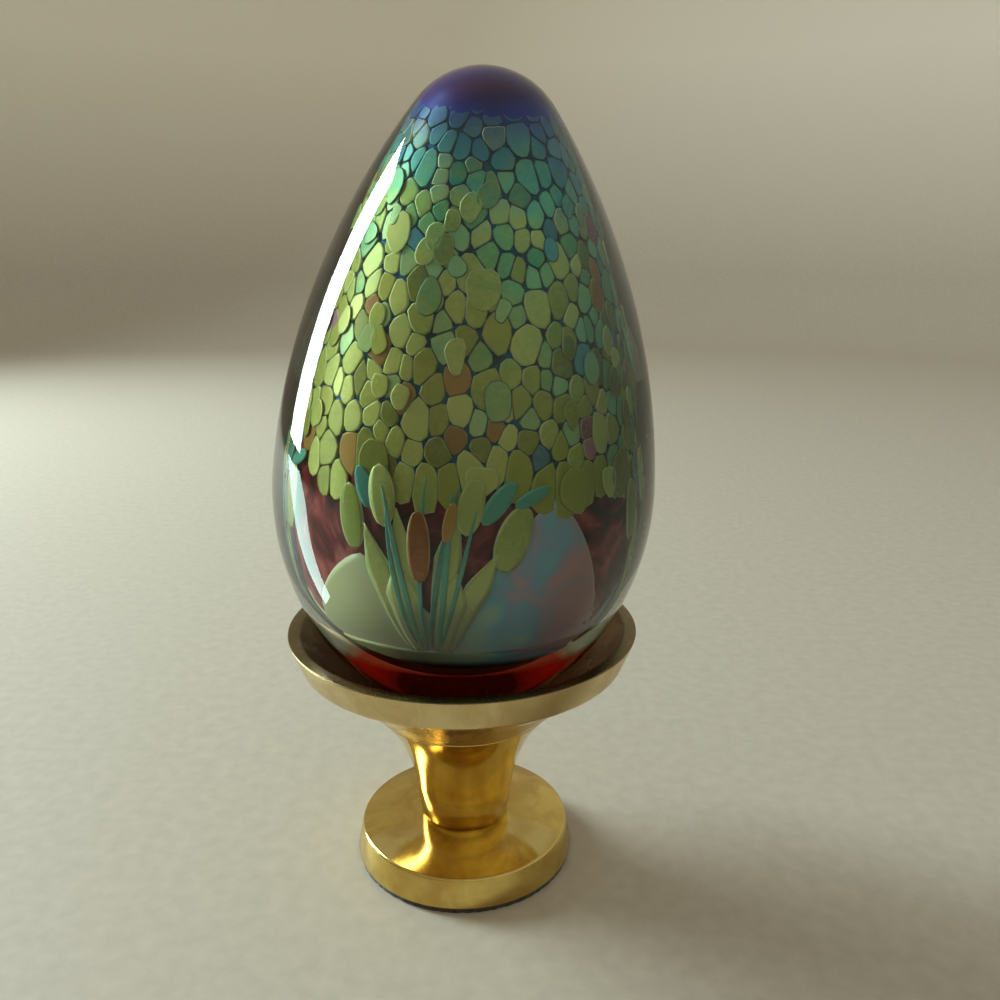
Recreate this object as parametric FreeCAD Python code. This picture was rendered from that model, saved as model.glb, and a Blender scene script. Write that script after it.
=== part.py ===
import FreeCAD, Part
import math
import os
import random

# A glass paperweight egg that rests in a turned brass stand.
# Millimetres, +Z up. The origin is the centre of the stand's underside, on the stand's axis.

Vector = FreeCAD.Vector
ORIGIN = Vector(0, 0, 0)
X_AXIS = Vector(1, 0, 0)
Y_AXIS = Vector(0, 1, 0)
Z_AXIS = Vector(0, 0, 1)
FULL_TURN = 360.0
QUARTER_TURN = 90.0

# Felt pad under the foot
pad_thickness = 0.8
pad_inset = 0.3

# Foot: a low disc with a slightly tapered edge band and a gently rising top
foot_radius = 19.7
foot_taper = 1.0
foot_band_height = 5.2
foot_rise = 1.4
foot_edge_round = 0.4

# Stem: a trumpet that flares up to the dish
stem_foot_radius = 7.9
stem_taper_angle = 7.9
stem_straight_height = 6.5
stem_flare_radius = 29.0
stem_flare_angle = 42.0
stem_edge_bevel = 0.35
spigot_radius = 5.0
spigot_length = 1.4
spigot_clearance = 0.1

# Dish: a cast bowl with a bevelled band and a flat rim. Its underside carries on the stem's flare.
rim_radius = 30.0
rim_width = 2.1
rim_edge_round = 0.3
band_height = 5.3
band_inset = 2.1
bowl_depth = 13.2
bowl_floor = 2.0
underside_hollow = 0.6
boss_radius = 6.0
boss_length = 4.5
boss_clearance = 0.1

# Screw that clamps foot, stem and dish from below
screw_radius = 2.4
tapped_clearance = 0.1
bore_clearance = 0.4
screw_end_gap = 0.8
head_radius = 4.4
head_height = 2.0
slot_width = 1.0
slot_depth = 1.0
washer_radius = 4.9
washer_thickness = 0.8
recess_radius = 5.5
recess_depth = 3.4

# Egg: tangent arcs from the bottom pole to the tip; the tip's radius closes the outline
egg_base_radius = 28.8
egg_waist_radius = 43.9
egg_shoulder_radius = 110.2
egg_turn_angles = (56.6, 95.0, 125.9)
egg_lean_angle = 3.6
seat_gap = 0.3

# Coloured core inside the clear casing, outlined the same way
core_tip_wall = 4.9
core_base_inset = 4.8
core_heel_radius = 13.0
core_waist_inset = 5.9
core_shoulder_radius = 200.0
core_turn_angles = (22.0, 70.0, 95.0, 110.0)

# Coats of coloured glass on the core, as heights above the core's surface
fused_gap = 0.05
hill_top = 0.45
blade_bottom = 0.55
chip_thickness = 0.8
blade_top = 0.95
cavity_gap = 1.3

# Canopy of melted chips: rows of ovals round the upper core, under a cap at its tip
chip_width = 3.5
chip_height = 4.7
canopy_low_height = 30.2
upper_core_margin = 2.0
canopy_cap_gap = 2.5
cap_depth = 6.0
chip_fill_shares = (0.76, 0.9)
chip_twist_angle = 14.0
canopy_seed = 11

# How often each glass is drawn in the lowest and in the highest row of chips
low_row_shares = {"lime": 0.34, "olive": 0.30, "teal": 0.16, "blue": 0.06, "russet": 0.08, "plum": 0.06}
high_row_shares = {"lime": 0.12, "olive": 0.06, "teal": 0.42, "blue": 0.38, "russet": 0.01, "plum": 0.01}

# Opal ground under the core, and opal hills that rise from a foot circle just inside its edge
ground_height = 3.2
hill_foot_height = 1.5
hill_heights = (23.5, 17.0, 21.0, 16.0)
hill_width = 22.0
hill_turn_angle = 38.0

# Clumps of blades, threads and petals that stand between the hills and the canopy
clump_angles = (-12.0, 122.0, 236.0)
fan_centre_depth = 10.8
fan_step_angle = 5.2
blade_start = 14.5
blade_width = 1.7
blade_lengths = (20.0, 17.0, 18.5, 15.5)
blade_slots = (-4, -2, 2, 4)
thread_width = 0.7
thread_lengths = (21.5, 22.0, 21.0, 22.0)
thread_slots = (-3, -1, 1, 3)
petal_stalk_length = 13.0
petal_width = 2.1
petal_height = 5.6
petal_gap = 0.3

# Heights that follow from the sizes above
foot_bottom = pad_thickness
foot_shoulder = foot_bottom + foot_band_height
foot_top = foot_shoulder + foot_rise
taper = math.radians(stem_taper_angle)
flare = math.radians(stem_flare_angle)
straight_top = foot_top + stem_straight_height
straight_top_radius = stem_foot_radius + stem_straight_height * math.tan(taper)
flare_centre_radius = straight_top_radius + stem_flare_radius * math.cos(taper)
flare_centre_height = straight_top - stem_flare_radius * math.sin(taper)
stem_top = flare_centre_height + stem_flare_radius * math.sin(flare)
stem_top_radius = flare_centre_radius - stem_flare_radius * math.cos(flare)
bowl_radius = rim_radius - rim_width
bowl_pole = stem_top + bowl_floor
rim_height = bowl_pole + bowl_depth
screw_end = stem_top - screw_end_gap
recess_top = foot_bottom + recess_depth
washer_bottom = recess_top - washer_thickness
head_bottom = washer_bottom - head_height

# The egg's ball-shaped base rests on the bowl's pole, or on the rim where the rim is the narrower seat
ball_radius = egg_base_radius + seat_gap
rim_seat_rise = math.sqrt(max(ball_radius ** 2 - bowl_radius ** 2, 0.0))
egg_pole = max(bowl_pole + seat_gap, rim_height + rim_seat_rise - egg_base_radius)


def save(shape, node):
    """Writes one sub-part to its own file."""
    shape.exportStep("parts/" + node + ".step")
    print(node, "solids", len(shape.Solids), "volume", round(shape.Volume, 1))


def point(radius, height):
    """A point of a turned outline, in the XZ plane."""
    return Vector(radius, 0, height)


def line(start, end):
    return Part.LineSegment(start, end).toShape()


def bent(start, middle, end):
    return Part.Arc(start, middle, end).toShape()


def turned(edges):
    """Turns a closed outline once round the Z axis."""
    face = Part.Face(Part.Wire(edges))
    return face.revolve(ORIGIN, Z_AXIS, FULL_TURN)


def turned_points(points):
    """Turns a closed outline of straight lines."""
    edges = [line(a, b) for a, b in zip(points, points[1:] + points[:1])]
    return turned(edges)


def rod(radius, low, high):
    return Part.makeCylinder(radius, high - low, Vector(0, 0, low), Z_AXIS)


def rounded(shape, size, radius, height):
    """Rounds the circular edge of one radius that lies at one height."""
    edges = []
    for edge in shape.Edges:
        box = edge.BoundBox
        flat = box.ZLength < size
        if flat and abs(box.ZMax - height) < size and abs(box.XMax - radius) < size / 2:
            edges.append(edge)
    return shape.makeFillet(size, edges)


# Stand

def base_pad():
    return rod(foot_radius - pad_inset, 0, foot_bottom)


def foot():
    shoulder_radius = foot_radius - foot_taper
    body = turned_points([point(0, foot_bottom),
                          point(foot_radius, foot_bottom),
                          point(shoulder_radius, foot_shoulder),
                          point(stem_foot_radius, foot_top),
                          point(0, foot_top)])
    body = rounded(body, foot_edge_round, shoulder_radius, foot_shoulder)
    socket_radius = spigot_radius + spigot_clearance
    socket_bottom = foot_top - spigot_length - spigot_clearance
    body = body.cut(rod(socket_radius, socket_bottom, foot_top))
    body = body.cut(rod(screw_radius + bore_clearance, foot_bottom, foot_top))
    return body.cut(rod(recess_radius, foot_bottom, recess_top))


def stem():
    middle = (taper + flare) / 2
    flare_middle = point(flare_centre_radius - stem_flare_radius * math.cos(middle),
                         flare_centre_height + stem_flare_radius * math.sin(middle))
    low_edge = point(stem_foot_radius - stem_edge_bevel, foot_top)
    side_low = point(stem_foot_radius, foot_top + stem_edge_bevel)
    side_top = point(straight_top_radius, straight_top)
    flare_top = point(stem_top_radius, stem_top)
    body = turned([line(point(0, foot_top), low_edge),
                   line(low_edge, side_low),
                   line(side_low, side_top),
                   bent(side_top, flare_middle, flare_top),
                   line(flare_top, point(0, stem_top)),
                   line(point(0, stem_top), point(0, foot_top))])
    body = body.fuse(rod(spigot_radius, foot_top - spigot_length, foot_top)).removeSplitter()
    socket_depth = boss_length + boss_clearance
    body = body.cut(rod(boss_radius + boss_clearance, stem_top - socket_depth, stem_top))
    return body.cut(rod(screw_radius + bore_clearance, foot_top - spigot_length, stem_top))


def dish():
    band_low = point(rim_radius - band_inset, rim_height - band_height)
    underside_low = point(stem_top_radius, stem_top)
    chord = band_low.sub(underside_low)
    inward = Vector(-chord.z, 0, chord.x).normalize()
    underside_middle = (underside_low + band_low) / 2 + inward * underside_hollow
    sphere_radius = (bowl_radius ** 2 + bowl_depth ** 2) / (2 * bowl_depth)
    half_turn = math.asin(bowl_radius / sphere_radius) / 2
    bowl_middle = point(sphere_radius * math.sin(half_turn),
                        bowl_pole + sphere_radius * (1 - math.cos(half_turn)))
    rim_outer = point(rim_radius, rim_height)
    rim_inner = point(bowl_radius, rim_height)
    body = turned([line(point(0, stem_top), underside_low),
                   bent(underside_low, underside_middle, band_low),
                   line(band_low, rim_outer),
                   line(rim_outer, rim_inner),
                   bent(rim_inner, bowl_middle, point(0, bowl_pole)),
                   line(point(0, bowl_pole), point(0, stem_top))])
    body = rounded(body, rim_edge_round, rim_radius, rim_height)
    body = rounded(body, rim_edge_round, bowl_radius, rim_height)
    boss_bottom = stem_top - boss_length
    body = body.fuse(rod(boss_radius, boss_bottom, stem_top)).removeSplitter()
    return body.cut(rod(screw_radius + tapped_clearance, boss_bottom, stem_top))


def assembly_screw():
    shank = rod(screw_radius, washer_bottom, screw_end)
    head = rod(head_radius, head_bottom, washer_bottom)
    slot = Part.makeBox(2 * head_radius, slot_width, slot_depth,
                        Vector(-head_radius, -slot_width / 2, head_bottom))
    return head.fuse(shank).removeSplitter().cut(slot)


def screw_washer():
    return rod(washer_radius, washer_bottom, recess_top).cut(
        rod(screw_radius + bore_clearance, washer_bottom, recess_top))


# Egg outlines

def egg_arcs(pole_height, radii, turns):
    """Tangent arcs of an egg, each as centre radius, centre height, radius, first and last turn.

    A turn is the outline's direction, from 0 at the bottom pole to 180 degrees at the tip.
    """
    arcs = []
    centre_radius = 0.0
    centre_height = pole_height + radii[0]
    first = 0.0
    for index, radius in enumerate(radii):
        last = math.radians(turns[index])
        arcs.append((centre_radius, centre_height, radius, first, last))
        if index + 1 < len(radii):
            next_radius = radii[index + 1]
        else:
            next_radius = centre_radius / math.sin(last) + radius
        centre_radius += (radius - next_radius) * math.sin(last)
        centre_height -= (radius - next_radius) * math.cos(last)
        first = last
    arcs.append((0.0, centre_height, next_radius, first, math.pi))
    return arcs


def on_arc(arc, turn, lift):
    """The point of an arc at a turn, lifted off the outline."""
    centre_radius, centre_height, radius = arc[:3]
    return point(centre_radius + (radius + lift) * math.sin(turn),
                 centre_height - (radius + lift) * math.cos(turn))


def outline_edges(arcs, first, last, lift):
    """The outline's edges between two turns, all lifted alike."""
    edges = []
    for arc in arcs:
        start = max(first, arc[3])
        end = min(last, arc[4])
        if end > start:
            middle = (start + end) / 2
            edges.append(bent(on_arc(arc, start, lift), on_arc(arc, middle, lift), on_arc(arc, end, lift)))
    return edges


def arc_at(arcs, height):
    """The arc that passes a height, and its turn there."""
    for arc in arcs:
        centre_height, radius, first, last = arc[1:]
        if height <= centre_height - radius * math.cos(last):
            break
    turn = math.acos(max(-1, min(1, (centre_height - height) / radius)))
    return arc, max(first, min(last, turn))


def solid_of_outline(arcs, lift):
    """The solid inside an egg outline, lifted off it all over."""
    edges = outline_edges(arcs, 0.0, math.pi, lift)
    return turned(edges + [line(on_arc(arcs[-1], math.pi, lift), on_arc(arcs[0], 0.0, lift))])


def coat(arcs, low, high, bottom, top):
    """A coat of glass on an egg outline, between two heights and between two lifts."""
    low_arc, low_turn = arc_at(arcs, low)
    high_arc, high_turn = arc_at(arcs, high)
    edges = outline_edges(arcs, low_turn, high_turn, bottom) + outline_edges(arcs, low_turn, high_turn, top)
    edges.append(line(on_arc(high_arc, high_turn, bottom), on_arc(high_arc, high_turn, top)))
    edges.append(line(on_arc(low_arc, low_turn, bottom), on_arc(low_arc, low_turn, top)))
    return turned(Part.__sortEdges__(edges))


def oval(half_width, half_height):
    """An upright oval face in the XZ plane, centred on the origin."""
    long_side = max(half_width, half_height)
    short_side = min(half_width, half_height)
    face = Part.Face(Part.Wire(Part.Ellipse(ORIGIN, long_side, short_side).toShape()))
    face.rotate(ORIGIN, X_AXIS, QUARTER_TURN)
    if half_height > half_width:
        face.rotate(ORIGIN, Y_AXIS, QUARTER_TURN)
    return face


def blade_face(width, length):
    """A slim pointed face in the XZ plane that starts at the fan's low circle."""
    low = point(0, blade_start)
    high = point(0, blade_start + length)
    middle = blade_start + length / 2
    edges = [bent(low, point(width / 2, middle), high), bent(high, point(-width / 2, middle), low)]
    return Part.Face(Part.Wire(edges))


def laid_on(face, angle, layer):
    """Presses a face in the XZ plane outwards onto a coat, at an angle round the egg's axis."""
    prism = face.extrude(Vector(0, -core_waist_radius, 0))
    prism.rotate(ORIGIN, Z_AXIS, angle)
    return prism.common(layer)


def tip_of(arcs):
    return on_arc(arcs[-1], math.pi, 0).z


egg_outline = egg_arcs(egg_pole, (egg_base_radius, egg_waist_radius, egg_shoulder_radius), egg_turn_angles)
core_waist_radius = egg_waist_radius - core_waist_inset
core_radii = (egg_base_radius - core_base_inset, core_heel_radius, core_waist_radius, core_shoulder_radius)
core_tip = tip_of(egg_outline) - core_tip_wall
core_pole = core_tip - tip_of(egg_arcs(0.0, core_radii, core_turn_angles))
core_outline = egg_arcs(core_pole, core_radii, core_turn_angles)

# Levels on the core, from its pole and its tip
ground_high = core_pole + ground_height
canopy_low = core_pole + canopy_low_height
core_split = canopy_low - upper_core_margin
cap_low = core_tip - cap_depth
canopy_high = cap_low - canopy_cap_gap


def settle(shape):
    """Leans an egg piece about the centre of the ball-shaped base, so that the seat stays as it is."""
    shape.rotate(Vector(0, 0, egg_pole + egg_base_radius), Y_AXIS, egg_lean_angle)
    return shape


# Egg pieces

def clear_casing():
    return solid_of_outline(egg_outline, 0).cut(solid_of_outline(core_outline, cavity_gap))


def upper_core():
    return solid_of_outline(core_outline, 0).common(rod(core_waist_radius, core_split, core_tip))


def ruby_core():
    return solid_of_outline(core_outline, 0).common(rod(core_waist_radius, core_pole, core_split))


def violet_cap():
    return coat(core_outline, cap_low, core_tip, fused_gap, blade_top)


def opal_ground():
    return coat(core_outline, core_pole, ground_high, fused_gap, hill_top)


def opal_hills():
    layer = coat(core_outline, ground_high + fused_gap, canopy_low, fused_gap, hill_top)
    hills = []
    for index, height in enumerate(hill_heights):
        face = oval(hill_width / 2, height / 2)
        face.translate(Vector(0, 0, core_pole + hill_foot_height + height / 2))
        hills.append(laid_on(face, hill_turn_angle + index * FULL_TURN / len(hill_heights), layer))
    return Part.makeCompound(hills)


def fan_pieces(faces):
    """Lays the faces of one fan on the core at every clump."""
    layer = coat(core_outline, ground_high, canopy_low, blade_bottom, blade_top)
    pieces = []
    for angle in clump_angles:
        for face, slot in faces:
            placed = face.copy()
            placed.rotate(ORIGIN, Y_AXIS, slot * fan_step_angle)
            placed.translate(Vector(0, 0, core_pole - fan_centre_depth))
            pieces.append(laid_on(placed, angle, layer))
    return Part.makeCompound(pieces)


def leaf_blades():
    return fan_pieces([(blade_face(blade_width, length), slot)
                       for length, slot in zip(blade_lengths, blade_slots)])


def teal_stems():
    faces = [(blade_face(thread_width, length), slot) for length, slot in zip(thread_lengths, thread_slots)]
    faces.append((blade_face(thread_width, petal_stalk_length), 0))
    return fan_pieces(faces)


def amber_petals():
    petal = oval(petal_width / 2, petal_height / 2)
    petal.translate(Vector(0, 0, blade_start + petal_stalk_length + petal_gap + petal_height / 2))
    return fan_pieces([(petal, 0)])


def chip(height, angle, width_share, height_share, twist):
    """One flat oval chip that lies on the core."""
    arc, turn = arc_at(core_outline, height)
    face = oval(chip_width * width_share / 2, chip_height * height_share / 2)
    face.rotate(ORIGIN, Y_AXIS, twist)
    body = face.extrude(Vector(0, -chip_thickness, 0))
    body.rotate(ORIGIN, X_AXIS, QUARTER_TURN - math.degrees(turn))
    seat = on_arc(arc, turn, fused_gap)
    body.translate(Vector(0, -seat.x, seat.z))
    body.rotate(ORIGIN, Z_AXIS, angle)
    return body


def canopy():
    """Rows of chips round the core, sorted by their glass."""
    draw = random.Random(canopy_seed)
    chips = {glass: [] for glass in low_row_shares}
    rows = int((canopy_high - canopy_low) / chip_height) + 1
    for row in range(rows):
        height = canopy_low + row * chip_height
        arc, turn = arc_at(core_outline, height)
        count = int(2 * math.pi * on_arc(arc, turn, 0).x / chip_width)
        rise = row / (rows - 1)
        weights = [low * (1 - rise) + high * rise
                   for low, high in zip(low_row_shares.values(), high_row_shares.values())]
        for place in range(count):
            glass = draw.choices(list(chips), weights)[0]
            angle = (place + row / 2) * FULL_TURN / count
            width_share = draw.uniform(*chip_fill_shares)
            height_share = draw.uniform(*chip_fill_shares)
            twist = draw.uniform(-chip_twist_angle, chip_twist_angle)
            chips[glass].append(chip(height, angle, width_share, height_share, twist))
    return chips


stand_pieces = [base_pad, foot, stem, dish, assembly_screw, screw_washer]
egg_pieces = [clear_casing, upper_core, ruby_core, violet_cap, opal_ground, opal_hills,
              leaf_blades, teal_stems, amber_petals]

os.makedirs("parts", exist_ok=True)
for make in stand_pieces:
    save(make(), make.__name__)
for make in egg_pieces:
    save(settle(make()), make.__name__)
for glass, bodies in canopy().items():
    save(settle(Part.makeCompound(bodies)), glass + "_chips")
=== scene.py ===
# %% [markdown]
# # A glass egg on a turned brass stand
# The object is a solid glass paperweight, shaped like an egg, that stands loose in a brass dish.
# Inside the clear glass is a smaller coloured core. It wears a coat of small melted glass chips, so it
# looks like the crown of a tree, with blades, threads and pale hills below. The stand is three turned
# pieces of brass, foot, stem and dish, clamped by one hidden screw.
#
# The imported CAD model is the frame. It says where everything is. The pieces below are modelled around it.

# %% Load the frame
import math
import random

import bmesh
import bpy
from mathutils import Matrix, Vector, noise


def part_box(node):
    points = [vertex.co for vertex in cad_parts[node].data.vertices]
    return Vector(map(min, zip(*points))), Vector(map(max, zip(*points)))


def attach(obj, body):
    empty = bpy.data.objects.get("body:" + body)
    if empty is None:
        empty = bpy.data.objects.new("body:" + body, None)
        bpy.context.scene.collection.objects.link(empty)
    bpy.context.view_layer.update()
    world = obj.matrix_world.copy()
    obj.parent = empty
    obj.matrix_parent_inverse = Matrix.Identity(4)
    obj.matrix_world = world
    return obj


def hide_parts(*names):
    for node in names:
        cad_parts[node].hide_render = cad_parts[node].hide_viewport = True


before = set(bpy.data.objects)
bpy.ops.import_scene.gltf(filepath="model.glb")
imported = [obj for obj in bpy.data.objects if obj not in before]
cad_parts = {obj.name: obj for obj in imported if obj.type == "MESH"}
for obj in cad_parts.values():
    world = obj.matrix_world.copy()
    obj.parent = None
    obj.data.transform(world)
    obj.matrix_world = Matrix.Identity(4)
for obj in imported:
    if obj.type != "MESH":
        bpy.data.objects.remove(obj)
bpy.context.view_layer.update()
MM = 0.001
FULL_TURN = 2 * math.pi
MERGE_DISTANCE = 0.001 * MM
print("CAD nodes:", ", ".join(sorted(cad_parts)))

# %% [markdown]
# ## Camera
# The ellipses of the rim and of the foot say how the photograph's camera stood: close to the object and a
# little above it, tipped down by 15.5 degrees. A wide lens this close makes the foot look rounder than the
# rim above it, so the lens and the distance both matter for the likeness.

# %% Camera
CAMERA_PLACE = Vector((6.4, -142.1, 105.7)) * MM
CAMERA_PITCH = math.radians(15.5)
CAMERA_ROLL = math.radians(0.15)
LENS_MM = 31.57
SENSOR_MM = 36.0
NEAREST_SEEN = 10 * MM

camera = bpy.data.objects.new("camera", bpy.data.cameras.new("camera"))
bpy.context.scene.collection.objects.link(camera)
camera.location = CAMERA_PLACE
tipped = Matrix.Rotation(math.pi / 2 - CAMERA_PITCH, 3, "X") @ Matrix.Rotation(CAMERA_ROLL, 3, "Z")
camera.rotation_euler = tipped.to_euler()
camera.data.lens = LENS_MM
camera.data.sensor_width = SENSOR_MM
camera.data.clip_start = NEAREST_SEEN
bpy.context.scene.camera = camera
print("camera at", [round(value, 4) for value in camera.location])

# %% [markdown]
# ## Colours and nodes
# Colours are written as the hex values that a paint program shows. Blender's shaders work with linear light,
# so one function turns the one into the other. A second small function adds a node, with its settings, its
# values and its links in one call, which keeps each material readable.

# %% Colour helper
def linear(hex_colour):
    """Turns an sRGB hex colour into linear RGBA."""
    channels = [int(hex_colour[place:place + 2], 16) / 255 for place in (1, 3, 5)]
    return [c / 12.92 if c <= 0.04045 else ((c + 0.055) / 1.055) ** 2.4 for c in channels] + [1.0]


print("mid grey in linear light:", [round(channel, 3) for channel in linear("#808080")])


# %% Node helpers
def add(tree, kind, inputs=None, stops=None, **settings):
    """Adds a node. Inputs are values, or sockets to link, and stops are a colour ramp's."""
    node = tree.nodes.new(kind)
    for name, value in settings.items():
        setattr(node, name, value)
    for name, value in (inputs or {}).items():
        if isinstance(value, bpy.types.NodeSocket):
            tree.links.new(value, node.inputs[name])
        else:
            node.inputs[name].default_value = value
    if stops:
        while len(node.color_ramp.elements) < len(stops):
            node.color_ramp.elements.new(1.0)
        for element, (place, colour) in zip(node.color_ramp.elements, stops):
            element.position = place
            element.color = colour
    return node


def new_material(name):
    """An empty material and the output node that its shader goes to."""
    material = bpy.data.materials.new(name)
    material.use_nodes = True
    material.node_tree.nodes.clear()
    return material, material.node_tree, add(material.node_tree, "ShaderNodeOutputMaterial")


print("a material starts empty, with only its output node")

# %% [markdown]
# ## A lathe
# Nearly every piece of this object is round, because it was turned on a lathe or shaped on a glassblower's
# iron. So the script has its own lathe. It draws half an outline with lines and arcs, by extruding and
# spinning one vertex, and then spins the whole outline once round the Z axis.

# %% Lathe
class Lathe:
    """Draws half an outline in the XZ plane and turns it once round Z."""

    def __init__(self, x, z):
        self.bm = bmesh.new()
        self.tip = self.bm.verts.new((x, 0, z))

    def line(self, x, z):
        self.tip = bmesh.ops.extrude_vert_indiv(self.bm, verts=[self.tip])["verts"][0]
        self.tip.co = (x, 0, z)
        return self

    def arc(self, x, z, angle, step):
        """Swings round a centre, from below towards +X, in steps of about the given length."""
        radius = (self.tip.co - Vector((x, 0, z))).length
        steps = max(2, math.ceil(radius * abs(angle) / step))
        swung = bmesh.ops.spin(self.bm, geom=[self.tip], cent=(x, 0, z), axis=(0, -1, 0),
                               angle=angle, steps=steps, use_merge=False)
        self.tip = [part for part in swung["geom_last"] if isinstance(part, bmesh.types.BMVert)][0]
        return self

    def turn(self, sides):
        bmesh.ops.spin(self.bm, geom=self.bm.verts[:] + self.bm.edges[:], cent=(0, 0, 0), axis=(0, 0, 1),
                       angle=FULL_TURN, steps=sides, use_merge=True)
        bmesh.ops.remove_doubles(self.bm, verts=self.bm.verts, dist=MERGE_DISTANCE / 2)
        bmesh.ops.recalc_face_normals(self.bm, faces=self.bm.faces)
        return self.bm


print("a lathe draws with lines and arcs, then turns the outline once round")

# %% [markdown]
# Two more helpers serve all the pieces. One rounds the sharp rings of a turned piece with a small bevel,
# because no real edge is perfectly sharp. The other makes the finished mesh into a named piece, gives it its
# material, hangs it under the empty of the body that it rides on and hides the CAD node that it stands for.

# %% Bevel and finish helpers
SHARP_RING = math.radians(28)


def bevel_rings(bm, size):
    """Rounds every ring of edges that turns by more than the sharp angle."""
    rings = [edge for edge in bm.edges if edge.is_manifold and edge.calc_face_angle() > SHARP_RING]
    bmesh.ops.bevel(bm, geom=rings, offset=size, offset_type="OFFSET", affect="EDGES", segments=3,
                    profile=0.5, material=-1, clamp_overlap=True)


def finish_piece(bm, name, material, body, replaces=(), smooth=True):
    """Makes a bmesh a piece that rides on a body. With smooth None, its faces keep their own shading."""
    mesh = bpy.data.meshes.new(name)
    bm.to_mesh(mesh)
    bm.free()
    if smooth is not None:
        mesh.polygons.foreach_set("use_smooth", [smooth] * len(mesh.polygons))
    mesh.materials.append(material)
    piece = bpy.data.objects.new(name, mesh)
    bpy.context.scene.collection.objects.link(piece)
    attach(piece, body)
    if replaces:
        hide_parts(*replaces)
    print(f"{name}: {len(mesh.vertices)} vertices, {len(mesh.polygons)} faces")


print("rings that turn by more than", round(math.degrees(SHARP_RING)), "degrees are rounded")

# %% [markdown]
# ## Polished brass
# Foot, stem and dish are cast brass (a yellow alloy of copper and zinc), turned on a lathe and polished.
# To the eye that gives a warm mirror with fine rings left by the tool, soft smears from handling, and a
# browner film where a polishing cloth doesn't reach. The rings follow the distance from the axis and the
# height, so the noise reads those two values and not X and Y. Real tool marks are about 0.1 mm apart. Here
# they are 0.35 mm apart, because finer ones wouldn't show. On the dish the faces that look up are darkened
# towards a dark brown: painted shade, mostly for the inside of the bowl under the egg.

# %% Brass material
RING_SPACING = 0.35 * MM
RING_DEPTH = 0.004 * MM
SMEAR_SIZE = 9 * MM
# A dark brown for the painted shade on faces that look up.
BOWL_SHADE_HUE = "#3a2c14"


def polished_brass(name, bright, dull, roughness, upward_shade=0.0):
    material, tree, output = new_material(name)
    place = add(tree, "ShaderNodeTexCoord").outputs["Object"]
    split = add(tree, "ShaderNodeSeparateXYZ", {0: place})
    flat = add(tree, "ShaderNodeCombineXYZ", {0: split.outputs[0], 1: split.outputs[1]})
    from_axis = add(tree, "ShaderNodeVectorMath", {0: flat.outputs[0]}, operation="LENGTH")
    rings_at = add(tree, "ShaderNodeCombineXYZ", {0: from_axis.outputs["Value"], 2: split.outputs[2]})
    rings = add(tree, "ShaderNodeTexNoise", {"Vector": rings_at.outputs[0], "Scale": 1 / RING_SPACING,
                                             "Detail": 2.0, "Roughness": 0.6})
    smears = add(tree, "ShaderNodeTexNoise", {"Vector": place, "Scale": 1 / SMEAR_SIZE, "Detail": 5.0,
                                              "Roughness": 0.62, "Distortion": 0.6})
    film = add(tree, "ShaderNodeValToRGB", {"Fac": smears.outputs["Fac"]},
               stops=[(0.38, linear(dull)), (0.62, linear(bright))])
    rough = add(tree, "ShaderNodeMapRange", {"Value": smears.outputs["Fac"], "From Min": 0.35,
                                             "From Max": 0.7, "To Min": roughness * 1.5,
                                             "To Max": roughness * 0.8})
    marks = add(tree, "ShaderNodeBump", {"Height": rings.outputs["Fac"], "Strength": 0.25,
                                         "Distance": RING_DEPTH})
    facing = add(tree, "ShaderNodeNewGeometry").outputs["Normal"]
    upward = add(tree, "ShaderNodeSeparateXYZ", {0: facing}).outputs[2]
    # Painted shade: the more a face looks up, the more it is mixed towards the dark brown.
    upward_shade_mask = add(tree, "ShaderNodeMapRange", {"Value": upward, "From Min": 0.1, "From Max": 0.5,
                                               "To Max": upward_shade})
    film_with_shade = add(tree, "ShaderNodeMix", {0: upward_shade_mask.outputs["Result"], 6: film.outputs["Color"],
                                       7: linear(BOWL_SHADE_HUE)}, data_type="RGBA")
    metal = add(tree, "ShaderNodeBsdfPrincipled", {"Base Color": film_with_shade.outputs[2], "Metallic": 1.0,
                                                   "Roughness": rough.outputs["Result"],
                                                   "Normal": marks.outputs["Normal"]})
    tree.links.new(metal.outputs[0], output.inputs["Surface"])
    return material


brass_mirror = polished_brass("polished turned brass", "#e4ca78", "#cca95e", 0.1)
# The dish gets painted shade on its faces that look up.
brass_satin = polished_brass("satin turned brass", "#dcc692", "#c9b07a", 0.24, upward_shade=0.75)
print("brass:", brass_mirror.name, "and", brass_satin.name)

# %% [markdown]
# ## Foot
# The foot is a low disc. Its edge band tapers a little, and its top rises gently to the stem. Its outline is
# four lines on the lathe, and a small bevel on each sharp ring catches the light, as a polished edge does.
# The hidden screw hole is left to the CAD.

# %% Foot
foot_low, foot_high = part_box("foot")
FOOT_RADIUS = foot_high.x
FOOT_TAPER = 1.0 * MM
FOOT_BAND = 5.2 * MM
STEM_FOOT_RADIUS = 7.9 * MM
EDGE_BEVEL = 0.4 * MM
TURNING_SIDES = 160

foot_bm = (Lathe(0, foot_low.z).line(FOOT_RADIUS, foot_low.z)
           .line(FOOT_RADIUS - FOOT_TAPER, foot_low.z + FOOT_BAND)
           .line(STEM_FOOT_RADIUS, foot_high.z).line(0, foot_high.z).turn(TURNING_SIDES))
bevel_rings(foot_bm, EDGE_BEVEL)
finish_piece(foot_bm, "turned_foot", brass_mirror, "stand", ["foot"])

# %% [markdown]
# ## Stem
# The stem is a trumpet: a cone that widens as it rises, and then a long flare that runs out under the dish.
# The flare is one arc, which starts in the cone's own direction, so that no ring shows where they meet.

# %% Stem
stem_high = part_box("stem")[1]
STEM_TAPER = math.radians(7.9)
STEM_STRAIGHT = 6.5 * MM
FLARE_RADIUS = 29.0 * MM
FLARE_END = math.radians(42)
STEM_BEVEL = 0.35 * MM
FLARE_STEP = 0.5 * MM

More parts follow.
